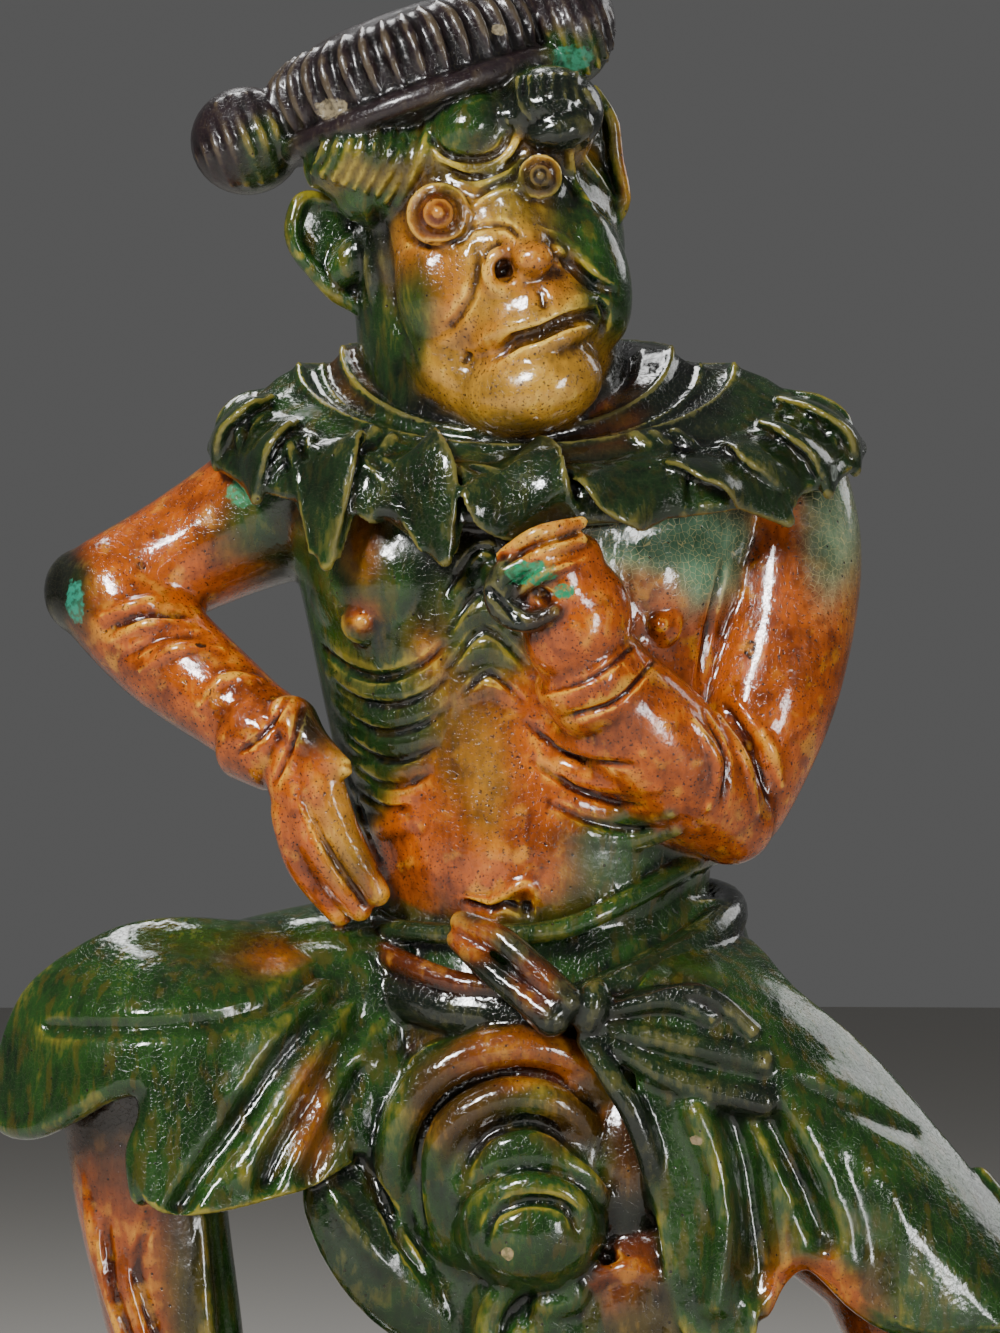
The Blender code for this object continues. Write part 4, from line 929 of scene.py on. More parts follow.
# Tool lines pressed in the finished relief: the points they pass as (across, up), half width, and depth
TOOLED = (
    # face
    (((-60, 558), (-53, 532), (-50, 508), (-42, 488)), 5, 2.2),
    (((-46, 540), (-40, 536), (-31, 534.5), (-22, 538), (-19, 545)), 2.6, 2.0),
    (((-20, 541), (-12, 542.5), (-5, 541.5), (0, 537)), 2.2, 1.8),
    (((-18, 554), (-10, 559), (-3, 562)), 2.2, 1.4),
    (((-17, 533), (-18, 520), (-22, 510), (-29, 501)), 3.4, 1.8),
    (((-15, 526), (-13, 532), (-8, 535)), 2.0, 1.6),
    (((-22, 491), (-20, 489)), 3.6, 3.6),
    (((-7, 526), (-6, 522)), 4.2, 5.5),
    (((-9, 491), (-2, 496.5), (8, 499.5), (17, 504), (28, 507)), 4.0, 5.0),
    (((32, 513), (34, 507), (32, 500)), 2.4, 2.4),
    (((12, 533), (20, 527), (28, 520), (38, 516)), 3.6, 2.8),
    (((7.5, 517), (9.5, 509)), 2.4, 1.6),
    (((-35, 577), (-28, 571), (-17, 569.5), (-8, 573), (-3, 583)), 2.2, 2.4),
    (((-31, 567), (-20, 562), (-10, 563.5), (-2, 570), (2, 578)), 2.0, 1.8),
    # chest
    (((-79, 375), (-70, 367), (-55, 363), (-40, 368), (-31, 376)), 3.0, 2.6),
    (((-76, 362), (-65, 354), (-50, 352), (-38, 356), (-29, 363)), 2.4, 1.6),
    (((-73, 351), (-62, 343), (-50, 341), (-37, 345), (-28, 352)), 2.4, 1.6),
    (((-71, 340), (-60, 332), (-47, 330), (-33, 336)), 2.4, 1.6),
    (((-69, 329), (-58, 321), (-46, 320), (-36, 325)), 2.4, 1.5),
    (((-66, 318), (-55, 311), (-44, 311)), 2.4, 1.4),
    (((3, 345), (15, 335), (30, 330), (45, 328)), 2.4, 1.8),
    (((5, 330), (20, 320), (35, 314), (48, 312)), 2.4, 1.8),
    (((10, 314), (25, 307), (40, 303), (50, 303)), 2.4, 1.6),
    (((-68, 322), (-62, 303), (-55, 284)), 3.0, 1.6),
    (((-22, 274), (-12, 271), (-5, 273), (1, 270)), 2.6, 3.0),
    (((2, 274), (3, 269)), 3.4, 4.5),
    (((-30, 396), (-17, 414), (-6, 410)), 2.4, 1.8),
    (((-29, 381), (-15, 398), (0, 384)), 2.4, 2.0),
    (((-29, 366), (-14, 382), (3, 367)), 2.4, 2.0),
    (((-23, 356), (-12, 365), (1, 353)), 2.4, 1.6),
    # fist and sleeves
    (((-7, 407), (5, 414), (22, 419)), 1.8, 1.4),
    (((-5, 399), (8, 406), (25, 411)), 1.8, 1.2),
    (((7, 396), (12, 394)), 3.6, 5.0),
    (((8, 357), (30, 364), (50, 380)), 2.0, 1.6),
    (((16, 347), (38, 354), (54, 371)), 2.2, 2.0),
    (((-88, 318), (-76, 294), (-62, 273)), 2.2, 1.6),
    (((-113, 333), (-101, 342), (-91, 358)), 2.0, 1.8),
    (((-98, 321), (-91, 336), (-86, 355)), 2.2, 1.8),
    (((-168, 382), (-150, 388), (-132, 388)), 3.0, 1.8),
    (((-158, 371), (-144, 379), (-126, 380)), 3.0, 1.6),
    (((73, 349), (82, 331), (80, 312)), 3.0, 2.0),
    (((82, 352), (93, 334), (99, 314)), 3.0, 2.0),
    (((82, 410), (76, 385), (72, 362)), 3.5, 2.2),
    # drapery
    (((-37, 140), (-41, 162), (-38, 182), (-29, 198), (-10, 206), (12, 205), (30, 192)), 3.0, 2.8),
    (((-24, 166), (-16, 181), (-4, 187), (8, 187), (19, 179)), 4.0, 3.2),
    (((-14, 142), (-10, 153), (4, 158), (18, 155), (23, 144)), 3.2, 2.8),
    (((-66, 176), (-56, 160), (-48, 142), (-36, 124)), 4.0, 3.0),
    (((33, 136), (36, 133)), 5.0, 4.0),
    (((-164, 150), (-163, 122), (-154, 98)), 3.6, 1.5),
    (((-146, 152), (-152, 128), (-142, 96)), 3.6, 1.5),
)


# Places sponged a second time before tooling: across, up, half width, half height
SPONGED_AGAIN = (
    (8, 150, 66, 82), (-10, 335, 78, 50), (5, 500, 42, 28), (-80, 305, 26, 40), (110, 165, 60, 60),
    (-110, 205, 80, 50),
)
SECOND_SPONGING = 12
SPONGE_REACH = 2.2


def sponged_again(spots, pairs):
    """The front of the relief softened at those places, fading out at their edges."""
    cover = np.zeros(len(spots))
    for x, z, wide, high in SPONGED_AGAIN:
        away = ((spots[:, 0] - x) / wide) ** 2 + ((spots[:, 2] - z) / high) ** 2
        cover = np.maximum(cover, np.clip(SPONGE_REACH - 2 * away, 0, 1))
    cover[spots[:, 1] > 0] = 0
    return spots + (neighbour_means(spots, pairs, SECOND_SPONGING) - spots) * cover[:, None]


# A tool misses skin that faces this far back. It starts at a share of its depth, and is full after a
# share of its line
TURNED_AWAY = 0.35
TOOL_START = 0.3
TOOL_FADE = 0.2


def tool(spots, normals, skin, lines):
    """Presses the skin in along each tool line, fading out at the line's ends."""
    shift = np.zeros(len(spots))
    for line, reach, depth in lines:
        path = []
        for x, z in spline(line, 5):
            hit = skin.ray_cast((x, -FAR_OFF, z), INWARD)[0]
            if hit is not None:
                path.append(hit[:])
        path = np.array(path)
        inside = (spots > path.min(0) - reach) & (spots < path.max(0) + reach)
        near = np.flatnonzero(inside.all(1) & (normals[:, 1] < TURNED_AWAY))
        starts, spans = path[:-1], np.diff(path, axis=0)
        away = spots[near][:, None] - starts
        share = np.clip((away * spans).sum(2) / (spans**2).sum(1), 0, 1)
        gap = np.linalg.norm(away - share[..., None] * spans, axis=2)
        best = gap.argmin(1)
        rows = np.arange(len(near))
        along = (best + share[rows, best]) / len(spans)
        fade = np.clip(np.minimum(along, 1 - along) / TOOL_FADE, 0, 1)
        close = np.clip(1 - (gap[rows, best] / reach) ** 2, 0, 1) ** 2
        shift[near] -= depth * close * (TOOL_START + (1 - TOOL_START) * fade)
    return spots + normals * shift[:, None]


GLAZES = ("amber", "green", "celadon", "black", "aubergine", "straw", "brown")
GLAZE_LAYERS = ("glazes_1_to_3", "glazes_4_to_6", "glaze_7")

# The glaze poured on each form, then dabs over it, a few of which paint shade where it falls, as marked:
# glaze, across, up, half width, half height, strength
GLAZING_AND_PAINTED_SHADE = {
    "hat": ("aubergine", (("green", -102, 572, 10, 14, 0.55), ("green", 22, 613, 12, 9, 0.9))),
    "head": (
        "straw",
        (
            ("amber", -38, 520, 14, 30, 0.5),
            ("amber", -14, 498, 14, 10, 0.4),
            ("brown", -33, 547, 16, 15, 0.5),
            ("black", 9, 562, 11, 10, 0.6),
            ("amber", 2, 524, 20, 12, 0.5),
            # painted shade: a dark brown dab deepens the nostril hole
            ("brown", -6, 524, 6, 6, 0.7),
            ("brown", 8, 499, 22, 5, 0.25),
            ("green", -20, 586, 26, 14, 1.0),
            ("celadon", -18, 584, 12, 8, 0.35),
            ("green", -22, 566, 24, 8, 0.6),
            ("green", -4, 556, 9, 14, 0.5),
            ("green", -44, 500, 9, 26, 0.9),
            ("green", 37, 535, 13, 40, 1.0),
            ("green", 26, 550, 14, 21, 0.9),
            # painted shade: dark green under the right eye, beside the nose
            ("green", 13, 546, 10, 7, 0.45),
            ("black", -64, 545, 14, 60, 1.0),
            ("green", -8, 464, 22, 5, 0.4),
        ),
    ),
    "eyes": ("brown", (("amber", -33, 547, 7, 7, 0.25), ("black", 8, 562, 8, 8, 0.75))),
    "knob": ("black", ()),
    # black glaze on the neck, which also paints the shade that falls under the chin
    "neck": ("black", (("green", -55, 500, 20, 30, 0.6),)),
    "brows": (
        "green",
        (("black", 14, 588, 26, 18, 1.0), ("straw", -56, 563, 26, 8, 0.4), ("black", -70, 580, 24, 8, 0.5)),
    ),
    "right ear": ("green", (("black", -60, 535, 9, 22, 0.8),)),
    "left ear": ("green", (("black", 28, 585, 8, 20, 0.6), ("amber", 42, 575, 5, 20, 0.8))),
    "cape roll": (
        "black",
        (
            ("green", -70, 465, 60, 30, 0.75),
            ("green", 90, 455, 50, 30, 0.6),
            ("brown", 36, 474, 14, 20, 0.8),
            ("straw", 34, 478, 7, 16, 0.5),
            ("brown", -66, 484, 12, 16, 0.6),
            ("black", 66, 468, 20, 20, 0.9),
        ),
    ),
    "cape": (
        "green",
        (("black", 0, 470, 60, 18, 0.6), ("black", 70, 470, 20, 20, 0.8), ("black", 0, 445, 180, 40, 0.62)),
    ),
    "torso": (
        "amber",
        (
            ("green", -66, 405, 36, 34, 1.0),
            ("green", -76, 350, 24, 60, 1.0),
            ("green", -60, 350, 26, 34, 0.9),
            # black over the left ribs: the black-green glaze there, and painted shade in the rib valleys and
            # under the chest
            ("black", -60, 348, 24, 26, 0.5),
            ("black", -12, 412, 32, 24, 0.9),
            ("green", -14, 385, 22, 26, 0.85),
            ("black", -14, 392, 15, 20, 0.5),
            ("green", -26, 345, 12, 30, 0.6),
            ("amber", -63, 416, 7, 18, 0.5),
            ("celadon", 62, 416, 34, 26, 1.0),
            ("amber", 50, 392, 14, 12, 0.7),
            ("brown", -63, 385, 8, 8, 0.9),
            ("amber", -63, 385, 4, 4, 0.9),
            ("straw", -12, 320, 7, 30, 0.7),
            ("green", 54, 294, 36, 20, 1.0),
            ("black", 66, 304, 20, 10, 0.6),
            ("black", -78, 310, 12, 40, 0.5),
            ("green", 0, 240, 120, 26, 1.0),
            ("green", 50, 266, 52, 16, 1.0),
        ),
    ),
    "right sleeve": (
        "amber",
        (
            ("green", -92, 425, 30, 24, 1.0),
            ("black", -96, 412, 14, 16, 0.7),
            ("black", -188, 395, 16, 26, 0.95),
            ("green", -178, 392, 6, 14, 0.5),
        ),
    ),
    "right hand": (
        "amber",
        (
            ("straw", -71, 302, 9, 26, 0.7),
            ("green", -63, 285, 6, 16, 0.5),
            ("black", -80, 345, 9, 15, 0.9),
            ("straw", -71, 328, 5, 5, 0.7),
        ),
    ),
    "left sleeve": ("amber", (("celadon", 126, 424, 14, 26, 0.8), ("straw", 140, 380, 8, 60, 0.4))),
    "fist": (
        "amber",
        (("straw", 18, 420, 18, 8, 0.4), ("black", -5, 396, 9, 12, 0.9), ("green", 8, 402, 8, 6, 0.6)),
    ),
    "fist thumb": ("black", (("green", 6, 402, 12, 8, 0.6), ("brown", 12, 388, 7, 6, 0.3))),
    "waistband": ("green", (("black", -30, 262, 40, 10, 0.6), ("black", 60, 285, 30, 10, 0.4))),
    "belt": ("black", (("green", 60, 250, 40, 20, 0.35),)),
    "belt edge": ("brown", (("black", 0, 240, 20, 10, 0.6),)),
    "bow": ("black", (("amber", -20, 262, 12, 8, 0.6), ("amber", 6, 244, 8, 8, 0.4))),
    "fan": ("black", (("green", 60, 215, 40, 20, 0.35),)),
    "drapery": (
        "green",
        (
            ("amber", 2, 212, 30, 11, 0.6),
            ("brown", -24, 196, 22, 22, 0.6),
            ("brown", 22, 190, 14, 14, 0.6),
            ("amber", 76, 155, 12, 40, 0.6),
            ("black", -64, 140, 14, 44, 0.6),
            ("brown", 42, 176, 10, 24, 0.7),
            ("black", 40, 145, 10, 18, 0.9),
            ("black", 0, 60, 90, 60, 0.4),
        ),
    ),
    "pouch": ("green", ()),
    "side fold": ("brown", (("green", 52, 108, 22, 22, 0.5), ("amber", 40, 124, 12, 12, 0.5))),
    "right flap": ("green", (("amber", -98, 252, 12, 7, 0.6), ("amber", -82, 190, 8, 22, 0.5))),
    "left flap": ("green", (("amber", 116, 118, 20, 16, 0.8),)),
    "right leg": (
        "amber",
        (
            ("green", -122, 120, 20, 60, 1.0),
            ("green", -80, 240, 90, 44, 1.0),
            # painted shade: black on the top of the thigh where the skirt flap shades it
            ("black", -165, 190, 40, 30, 0.85),
            ("brown", -150, 120, 26, 50, 0.45),
        ),
    ),
    "left leg": ("amber", (("green", 60, 220, 60, 50, 1.0),)),
    "boots": ("black", ()),
    "back skirt": ("green", (("amber", 8, 200, 80, 24, 0.5),)),
    "base": ("green", (("amber", 0, -30, 400, 16, 0.4),)),
}

# Dabs that lie only on the back of a form
BEHIND = {
    "head": (("green", 0, 545, 150, 150, 1.0), ("black", -20, 520, 60, 26, 0.8)),
    "torso": (("amber", 0, 340, 150, 60, 1.0),),
}
BACK_BEGINS = 6.0
BACK_BLENDS = 16.0

# How the edges of a glaze wander: how far, at what spacing, how much longer it is downward, and a seed
WANDER_ACROSS = ((5, 22, 1.5, 1), (2.5, 7, 1.5, 2))
WANDER_UP = ((7, 9, 4, 3), (3, 25, 1, 4))

# A dab is gone where its squared distance, in its own half sizes, reaches this, and it fades over the last
# one of it. The glazes are then blended a few times
DAB_EDGE = 1.6
GLAZE_BLENDING = 3


def forms_at(spots, clays):
    """The form that each point belongs to, from the nearest clay as it was laid."""
    points, faces, marks = [], [], []
    for clay in clays:
        start = len(points)
        points += clay.points
        faces += [[start + i for i in face] for face in clay.faces]
        marks += clay.marks
    laid = BVHTree.FromPolygons(points, faces)
    return np.array([marks[laid.find_nearest(spot)[2]] for spot in spots])


def wander(spots, spacing, stretch, seed):
    """Smooth noise at the points, between -1 and 1, its spacing longer by stretch in the vertical."""
    scale = Vector((1 / spacing, 1 / spacing, 1 / (spacing * stretch)))
    shift = Vector((seed * 17.3, seed * 5.1, seed * 9.7))
    return np.array([noise.noise(Vector(a * b for a, b in zip(spot, scale)) + shift) for spot in spots])


def glazed(spots, forms, pairs):
    """How much of each glaze lies on each point, a few dabs of it painted shade, after the glazes have run a
    little.
    """
    across, up = spots[:, 0].copy(), spots[:, 2].copy()
    for place, wanders in ((across, WANDER_ACROSS), (up, WANDER_UP)):
        for reach, spacing, stretch, seed in wanders:
            place += reach * wander(spots, spacing, stretch, seed)
    back = np.clip((spots[:, 1] - BACK_BEGINS) / BACK_BLENDS, 0, 1)
    weights = np.zeros((len(spots), len(GLAZES)))
    for form, (poured, dabs) in GLAZING_AND_PAINTED_SHADE.items():
        here = np.flatnonzero(forms == form)
        weights[here, GLAZES.index(poured)] = 1.0
        laid = [(dab, 1.0) for dab in dabs] + [(dab, back[here]) for dab in BEHIND.get(form, ())]
        for (glaze, x, z, wide, high, strength), shown in laid:
            away = ((across[here] - x) / wide) ** 2 + ((up[here] - z) / high) ** 2
            cover = strength * shown * np.clip(DAB_EDGE - away, 0, 1)
            cover = cover * cover * (3 - 2 * cover)
            weights[here] *= 1 - cover[:, None]
            weights[here, GLAZES.index(glaze)] += cover
    return neighbour_means(weights, pairs, GLAZE_BLENDING)


def linear(code):
    """An sRGB hex colour as linear RGBA."""
    parts = [int(code[i : i + 2], 16) / 255 for i in (1, 3, 5)]
    return (*(p / 12.92 if p <= 0.04045 else ((p + 0.055) / 1.055) ** 2.4 for p in parts), 1.0)


def add(tree, kind, sockets=(), **settings):
    """One node with its settings; sockets are (name or number, value or output to link) pairs."""
    made = tree.nodes.new(kind)
    for name, value in settings.items():
        setattr(made, name, value)
    for key, value in sockets:
        if isinstance(value, bpy.types.NodeSocket):
            tree.links.new(value, made.inputs[key])
        else:
            made.inputs[key].default_value = value
    return made


# Each lead glaze as its colour where it lies thin on a ridge, at its full coat, and pooled in a hollow
GLAZE_COLOURS = {
    "amber": ("#eba62f", "#b9560b", "#431502"),
    "green": ("#8a8029", "#234516", "#020f08"),
    "celadon": ("#bcc49a", "#6d9474", "#1c4028"),
    "black": ("#565430", "#151d14", "#020303"),
    "aubergine": ("#4c4030", "#221519", "#060304"),
    "straw": ("#efc656", "#b8862a", "#50340c"),
    "brown": ("#b5742c", "#5a2608", "#180803"),
}

# Flaws in the coat: colour, across, up, half width, half height, then where their edge lies and how it frays
FLAWS = (
    ("#3f9a6c", -111, 438, 9, 7),
    ("#2f8f74", -180, 393, 5, 10),
    ("#3c8a6a", 20, 612, 10, 6),
    ("#1f8a5c", 4, 404, 11, 5.5),
    ("#1f8a5c", 17, 397, 5, 3.5),
    ("#8f8266", -75, 590, 8, 4.5),
    ("#8f8266", -8, 622, 4, 2.5),
    ("#a58f70", 69, 181, 3.5, 2.2),
    ("#b39a6c", -5, 137, 2.6, 2.8),
    ("#9aa39a", 126, 445, 4, 4),
    ("#1d0c04", 93, 374, 3.4, 4.6),
    ("#1d0c04", -153, 408, 2.6, 2.0),
    ("#3a1c08", -128, 376, 2.4, 1.4),
)
FLAW_EDGE = (1.55, 1.35)
FLAW_FRAYING = 1.1

MILLIMETRES = 1000.0
RUN = (1, 1, 0.3)
FULL_COAT = 0.42

# Noise in the glaze: feature size in millimetres, detail, whether it runs down, and where it starts and
# is full, if it does not lie everywhere. Real specks are about half a millimetre, and are drawn at twice
# that so that they show
PATTERNS = {
    "breaks": (6, 4, False, None),
    "blotches": (20, 6, False, (0.36, 0.66)),
    "streaks": (2.4, 3, True, None),
    "olive": (5, 5, True, (0.5, 0.64)),
    "scorch": (8, 6, False, (0.52, 0.68)),
    "honey": (11, 5, False, (0.46, 0.3)),
    "specks": (1, 1, False, (0.6, 0.7)),
    "wear": (34, 5, False, (0.52, 0.72)),
    "fraying": (3.5, 4, False, None),
    "bared": (2.2, 3, False, (0.35, 0.6)),
    "orange peel": (7, 2, False, None),
    "grain": (1.6, 2, False, None),
}

# Cell patterns: spacing in millimetres, what is measured, and where it starts and is full
CELLS = {
    "pinholes": (7, "F1", (0.1, 0.06)),
    "crackle": (2.6, "DISTANCE_TO_EDGE", (0.035, 0.01)),
}

# Colours over the coat: the pattern each follows, a glaze, and its strength there and elsewhere
OVERLAYS = (
    ("#57480f", "olive", "green", 0.42, 0.0),
    ("#541a05", "scorch", "amber", 0.55, 0.0),
    ("#e39a2c", "honey", "amber", 0.6, 0.0),
    ("#2a1005", "specks", "warm", 0.75, 0.12),
    ("#160a04", "pinholes", "warm", 0.0, 0.85),
    ("#d6c98a", "crackle", "celadon", 0.6, 0.02),
)

# Dense lead glass, and how deep its surface ripples, in metres
GLAZE_IOR = 1.6
GLAZE_COAT = 0.35
GLAZE_COAT_ROUGHNESS = 0.05
RIPPLE_DEPTH = 0.0008
RIPPLE_STRENGTH = 0.6


def lead_glaze(skin):
    """Poured lead glaze over moulded stoneware: glassy, runny, pale on ridges and dark where it pooled."""
    material = bpy.data.materials.new("lead_glaze_over_stoneware")
    material.use_nodes = True
    tree = material.node_tree
    shader = tree.nodes["Principled BSDF"]
    place = add(tree, "ShaderNodeTexCoord").outputs["Object"]
    scale = (MILLIMETRES,) * 3
    grid = add(tree, "ShaderNodeVectorMath", [(0, place), (1, scale)], operation="MULTIPLY").outputs[0]
    runs = add(tree, "ShaderNodeVectorMath", [(0, grid), (1, RUN)], operation="MULTIPLY").outputs[0]
    hollow = add(tree, "ShaderNodeAttribute", attribute_name="hollow").outputs["Fac"]
    basin = add(tree, "ShaderNodeAttribute", attribute_name="basin").outputs["Fac"]

    masks = {}
    edges = {}
    for name, (size, detail, runny, ends) in PATTERNS.items():
        sockets = [("Vector", runs if runny else grid), ("Scale", 1 / size), ("Detail", detail)]
        masks[name] = add(tree, "ShaderNodeTexNoise", sockets).outputs["Fac"]
        edges[name] = ends
    for name, (spacing, feature, ends) in CELLS.items():
        sockets = [("Vector", grid), ("Scale", 1 / spacing)]
        masks[name] = add(tree, "ShaderNodeTexVoronoi", sockets, feature=feature).outputs["Distance"]
        edges[name] = ends
    sockets = [(0, masks["breaks"]), (1, -1.0), (2, hollow)]
    masks["ridges"] = add(tree, "ShaderNodeMath", sockets, operation="MULTIPLY_ADD").outputs[0]
    edges["ridges"] = (-1.0, -1.5)
    for name, ends in edges.items():
        if ends:
            sockets = [("Value", masks[name]), ("From Min", ends[0]), ("From Max", ends[1])]
            mask = add(tree, "ShaderNodeMapRange", sockets, interpolation_type="SMOOTHSTEP")
            masks[name] = mask.outputs["Result"]

    share = {}
    for k, layer in enumerate(GLAZE_LAYERS):
        zones = add(tree, "ShaderNodeAttribute", attribute_name=layer).outputs["Color"]
        split = add(tree, "ShaderNodeSeparateColor", [(0, zones)])
        share.update(zip(GLAZES[3 * k : 3 * k + 3], split.outputs))
    warm = [(0, share["amber"]), (1, share["straw"])]
    share["warm"] = add(tree, "ShaderNodeMath", warm, operation="ADD").outputs[0]

    sums = {
        "coat depth": (
            0.15,
            (hollow, 0.36), (basin, 0.16), (masks["blotches"], 0.34), (masks["streaks"], 0.6),
            (masks["ridges"], -0.45),
        ),
        "bareness": (0.35, (masks["bared"], 0.65)),
        "roughness": (0.1, (masks["wear"], 0.2), (masks["specks"], 0.1), (share["aubergine"], 0.2)),
        "relief": (
            masks["orange peel"],
            (masks["grain"], 0.12), (masks["pinholes"], -0.3), (masks["specks"], -0.1),
            (masks["crackle"], -0.04),
        ),
    }
    for name, (total, *terms) in sums.items():
        for output, factor in terms:
            sockets = [(0, output), (1, factor), (2, total)]
            total = add(tree, "ShaderNodeMath", sockets, operation="MULTIPLY_ADD").outputs[0]
        sums[name] = total

    coat = (0, 0, 0)
    for name, codes in GLAZE_COLOURS.items():
        ramp = add(tree, "ShaderNodeValToRGB", [("Fac", sums["coat depth"])])
        thin, full, pooled = (linear(code) for code in codes)
        stops = ramp.color_ramp.elements
        stops[0].position, stops[0].color = 0.0, thin
        stops[1].position, stops[1].color = 1.0, pooled
        stops.new(FULL_COAT).color = full
        sockets = [(0, ramp.outputs["Color"]), (1, share[name]), (2, coat)]
        coat = add(tree, "ShaderNodeVectorMath", sockets, operation="MULTIPLY_ADD").outputs[0]

    for colour, pattern, glaze, there, elsewhere in OVERLAYS:
        sockets = [(0, share[glaze]), (1, there), (2, elsewhere)]
        strength = add(tree, "ShaderNodeMath", sockets, operation="MULTIPLY_ADD").outputs[0]
        cover = add(tree, "ShaderNodeMath", [(0, masks[pattern]), (1, strength)], operation="MULTIPLY")
        sockets = [(0, cover.outputs[0]), (6, coat), (7, linear(colour))]
        coat = add(tree, "ShaderNodeMix", sockets, data_type="RGBA").outputs[2]

    for colour, x, z, wide, high in FLAWS:
        hit = skin.ray_cast(Vector((x, -FAR_OFF, z + BASE_HEIGHT)) * UNIT, INWARD)[0]
        centre = (x, hit.y / UNIT, z + BASE_HEIGHT)
        size = (1 / wide, 1 / max(wide, high), 1 / high)
        away = add(tree, "ShaderNodeVectorMath", [(0, grid), (1, centre)], operation="SUBTRACT").outputs[0]
        sized = add(tree, "ShaderNodeVectorMath", [(0, away), (1, size)], operation="MULTIPLY").outputs[0]
        reach = add(tree, "ShaderNodeVectorMath", [(0, sized)], operation="LENGTH").outputs["Value"]
        sockets = [(0, masks["fraying"]), (1, FLAW_FRAYING), (2, reach)]
        frayed = add(tree, "ShaderNodeMath", sockets, operation="MULTIPLY_ADD").outputs[0]
        sockets = [("Value", frayed), ("From Min", FLAW_EDGE[0]), ("From Max", FLAW_EDGE[1])]
        inside = add(tree, "ShaderNodeMapRange", sockets, interpolation_type="SMOOTHSTEP").outputs["Result"]
        cover = add(tree, "ShaderNodeMath", [(0, inside), (1, sums["bareness"])], operation="MULTIPLY")
        sockets = [(0, cover.outputs[0]), (6, coat), (7, linear(colour))]
        coat = add(tree, "ShaderNodeMix", sockets, data_type="RGBA").outputs[2]

    relief = [("Height", sums["relief"]), ("Distance", RIPPLE_DEPTH), ("Strength", RIPPLE_STRENGTH)]
    ripple = add(tree, "ShaderNodeBump", relief)
    tree.links.new(coat, shader.inputs["Base Color"])
    tree.links.new(sums["roughness"], shader.inputs["Roughness"])
    tree.links.new(ripple.outputs["Normal"], shader.inputs["Normal"])
    shader.inputs["IOR"].default_value = GLAZE_IOR
    shader.inputs["Coat Weight"].default_value = GLAZE_COAT
    shader.inputs["Coat Roughness"].default_value = GLAZE_COAT_ROUGHNESS
    return material


FLESH = (torso, right_arm, left_arm, head_masses, thighs_and_shins)
DRESS = (
    chest_details, hands, face, ears, brow_locks, hat, cape, back_skirt, trousers, right_flap, left_flap,
    middle_drapery, sash, saddle_base,
)


def modelled():
    """The whole tile in clay: the flesh and the dress as they were laid, and the relief melted from both."""
    flesh = Clay()
    for form in FLESH:
        form(flesh)
    skin = melted(flesh, FLESH_GRAIN, FLESH_SPONGING, "flesh")
    dress = Clay(BVHTree.FromObject(skin, bpy.context.evaluated_depsgraph_get()))
    for form in DRESS:
        form(dress)
    whole = Clay()
    whole.points = [v.co.copy() for v in skin.data.vertices] + dress.points
    first = len(skin.data.vertices)
    whole.faces = [list(f.vertices) for f in skin.data.polygons]
    whole.faces += [[first + i for i in f] for f in dress.faces]
    bpy.data.objects.remove(skin)
    return flesh, dress, melted(whole, RELIEF_GRAIN, RELIEF_SPONGING, TILE + "_glazed")


# How far below its neighbours' mean a point lies: over how many passes, and at what depth it counts in full
HOLLOWS = {"hollow": (8, 0.5), "basin": (60, 3.0)}

# The lowest layer of points, pressed flat as the underside
UNDERSIDE_LAYER = 1.0


def finished(relief):
    """Tools the relief and thins its mesh; returns the normal and hollows that each point had before."""
    mesh = relief.data
    spots, normals = spots_of(mesh), spots_of(mesh, "normal")
    skin = BVHTree.FromObject(relief, bpy.context.evaluated_depsgraph_get())
    pairs = edges_of(mesh)
    spots = tool(sponged_again(spots, pairs), normals, skin, TOOLED)
    spots[spots[:, 2] < -BASE_HEIGHT + UNDERSIDE_LAYER, 2] = -BASE_HEIGHT
    mesh.vertices.foreach_set("co", spots.ravel())
    mesh.update()
    normals = spots_of(mesh, "normal")
    hollows = {}
    for name, (passes, full) in HOLLOWS.items():
        hollows[name] = ((neighbour_means(spots, pairs, passes) - spots) * normals).sum(1) / full
    dense = KDTree(len(spots))
    for i, spot in enumerate(spots):
        dense.insert(spot, i)
    dense.balance()

    # Each face of the melted skin is a square, so it counts for two triangles
    thin = relief.modifiers.new("fewer faces", "DECIMATE")
    thin.ratio = MOST_TRIANGLES / (2 * len(mesh.polygons))
    thin.use_collapse_triangulate = True
    fixed(relief)
    nearest = np.array([dense.find(spot)[1] for spot in spots_of(relief.data)])
    return normals[nearest], {name: values[nearest] for name, values in hollows.items()}


def glazed_tile():
    """The whole tile as one glazed piece, with its glazes and hollows kept at its points."""
    flesh, dress, relief = modelled()
    normals, hollows = finished(relief)
    mesh = relief.data
    spots = spots_of(mesh)
    weights = glazed(spots, forms_at(spots, (flesh, dress)), edges_of(mesh))
    for k, name in enumerate(GLAZE_LAYERS):
        rows = np.zeros((len(spots), 4))
        columns = weights[:, 3 * k : 3 * k + 3]
        rows[:, : columns.shape[1]] = columns
        layer = mesh.color_attributes.new(name, "FLOAT_COLOR", "POINT")
        layer.data.foreach_set("color", rows.ravel().astype(np.float32))
    for name, values in hollows.items():
        layer = mesh.attributes.new(name, "FLOAT", "POINT")
        layer.data.foreach_set("value", np.clip(values, -1, 1).astype(np.float32))
    mesh.transform(Matrix.Scale(UNIT, 4) @ Matrix.Translation((0, 0, BASE_HEIGHT)))
    mesh.shade_smooth()
    mesh.normals_split_custom_set_from_vertices([Vector(n) for n in normals])
    skin = BVHTree.FromObject(relief, bpy.context.evaluated_depsgraph_get())
    mesh.materials.append(lead_glaze(skin))
    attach(relief, "root")
    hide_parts(TILE)


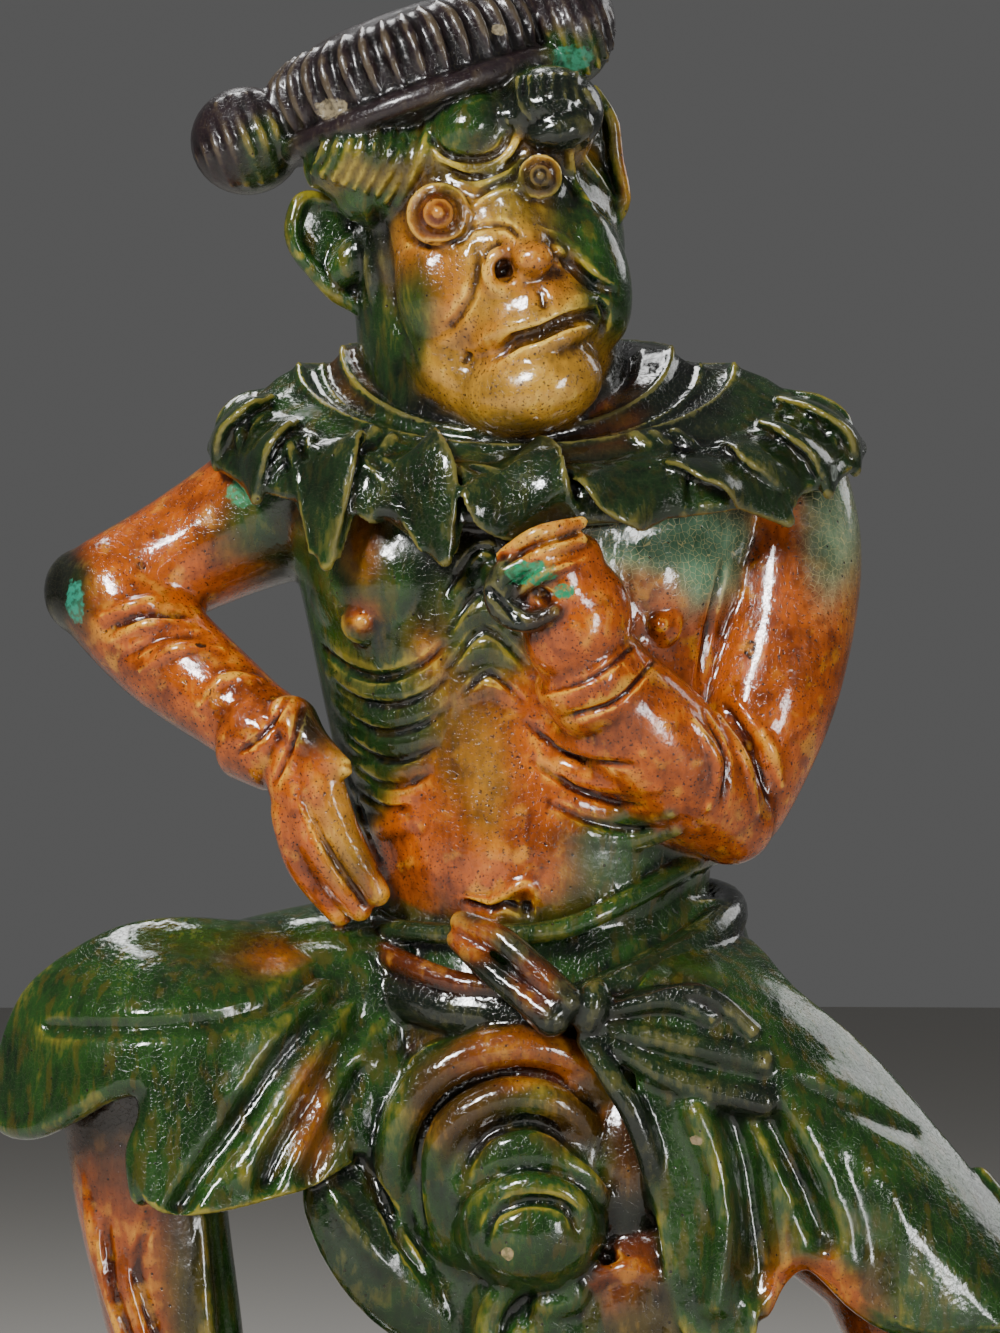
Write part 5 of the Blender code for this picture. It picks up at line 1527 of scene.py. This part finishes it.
# Camera: level, a long lens at the photograph's distance and framing, in metres
VIEW_DISTANCE = 3.0
VIEW_NEARER = 0.04
VIEW_CENTRE = (-0.008, 0.4134)
METRES_PER_PIXEL = 0.0004
PHOTO_HEIGHT_PIXELS = 1333
SENSOR = 24


def camera():
    """A level camera whose frame is the photograph's at the plane of the figure's front."""
    lens = bpy.data.cameras.new("long_lens")
    lens.sensor_fit = "VERTICAL"
    lens.sensor_height = SENSOR
    lens.lens = SENSOR * (VIEW_DISTANCE - VIEW_NEARER) / (PHOTO_HEIGHT_PIXELS * METRES_PER_PIXEL)
    eye = bpy.data.objects.new("camera", lens)
    eye.location = (VIEW_CENTRE[0], -VIEW_DISTANCE, VIEW_CENTRE[1])
    eye.rotation_euler = (math.radians(90), 0, 0)
    bpy.context.scene.collection.objects.link(eye)
    bpy.context.scene.camera = eye


# Soft boxes: place and size in metres, and watts
LIGHTS = {
    "key": ((-1.0, -1.8, 1.6), (0.4, 0.55), 66),
    "fill": ((1.3, -1.9, 0.4), (0.35, 0.7), 16),
    "rim": ((1.3, 1.0, 1.2), (0.8, 0.8), 5),
    "top": ((-0.4, 0.7, 1.9), (0.6, 0.6), 14),
}
LIT_POINT = Vector((0, 0, 0.4))
STUDIO_GREY = "#595959"
PAPER_GREY = "#b9b6b0"
PAPER_ROUGHNESS = 0.8
FLOOR_RADIUS = 6


def studio():
    """Four soft boxes, a grey room and a floor of matt paper, pale and without gloss."""
    for name, (place, size, power) in LIGHTS.items():
        lamp = bpy.data.lights.new(name, "AREA")
        lamp.shape = "RECTANGLE"
        lamp.size, lamp.size_y = size
        lamp.energy = power
        held = bpy.data.objects.new(name, lamp)
        held.location = place
        held.rotation_euler = (LIT_POINT - Vector(place)).to_track_quat("-Z", "Y").to_euler()
        bpy.context.scene.collection.objects.link(held)
    world = bpy.data.worlds.new("studio_grey")
    world.use_nodes = True
    world.node_tree.nodes["Background"].inputs[0].default_value = linear(STUDIO_GREY)
    bpy.context.scene.world = world
    bpy.ops.mesh.primitive_circle_add(vertices=96, radius=FLOOR_RADIUS, fill_type="NGON")
    floor = bpy.context.object
    floor.name = "floor"
    paper = bpy.data.materials.new("pale_paper")
    paper.use_nodes = True
    surface = paper.node_tree.nodes["Principled BSDF"]
    surface.inputs["Base Color"].default_value = linear(PAPER_GREY)
    surface.inputs["Roughness"].default_value = PAPER_ROUGHNESS
    floor.data.materials.append(paper)


glazed_tile()
camera()
studio()
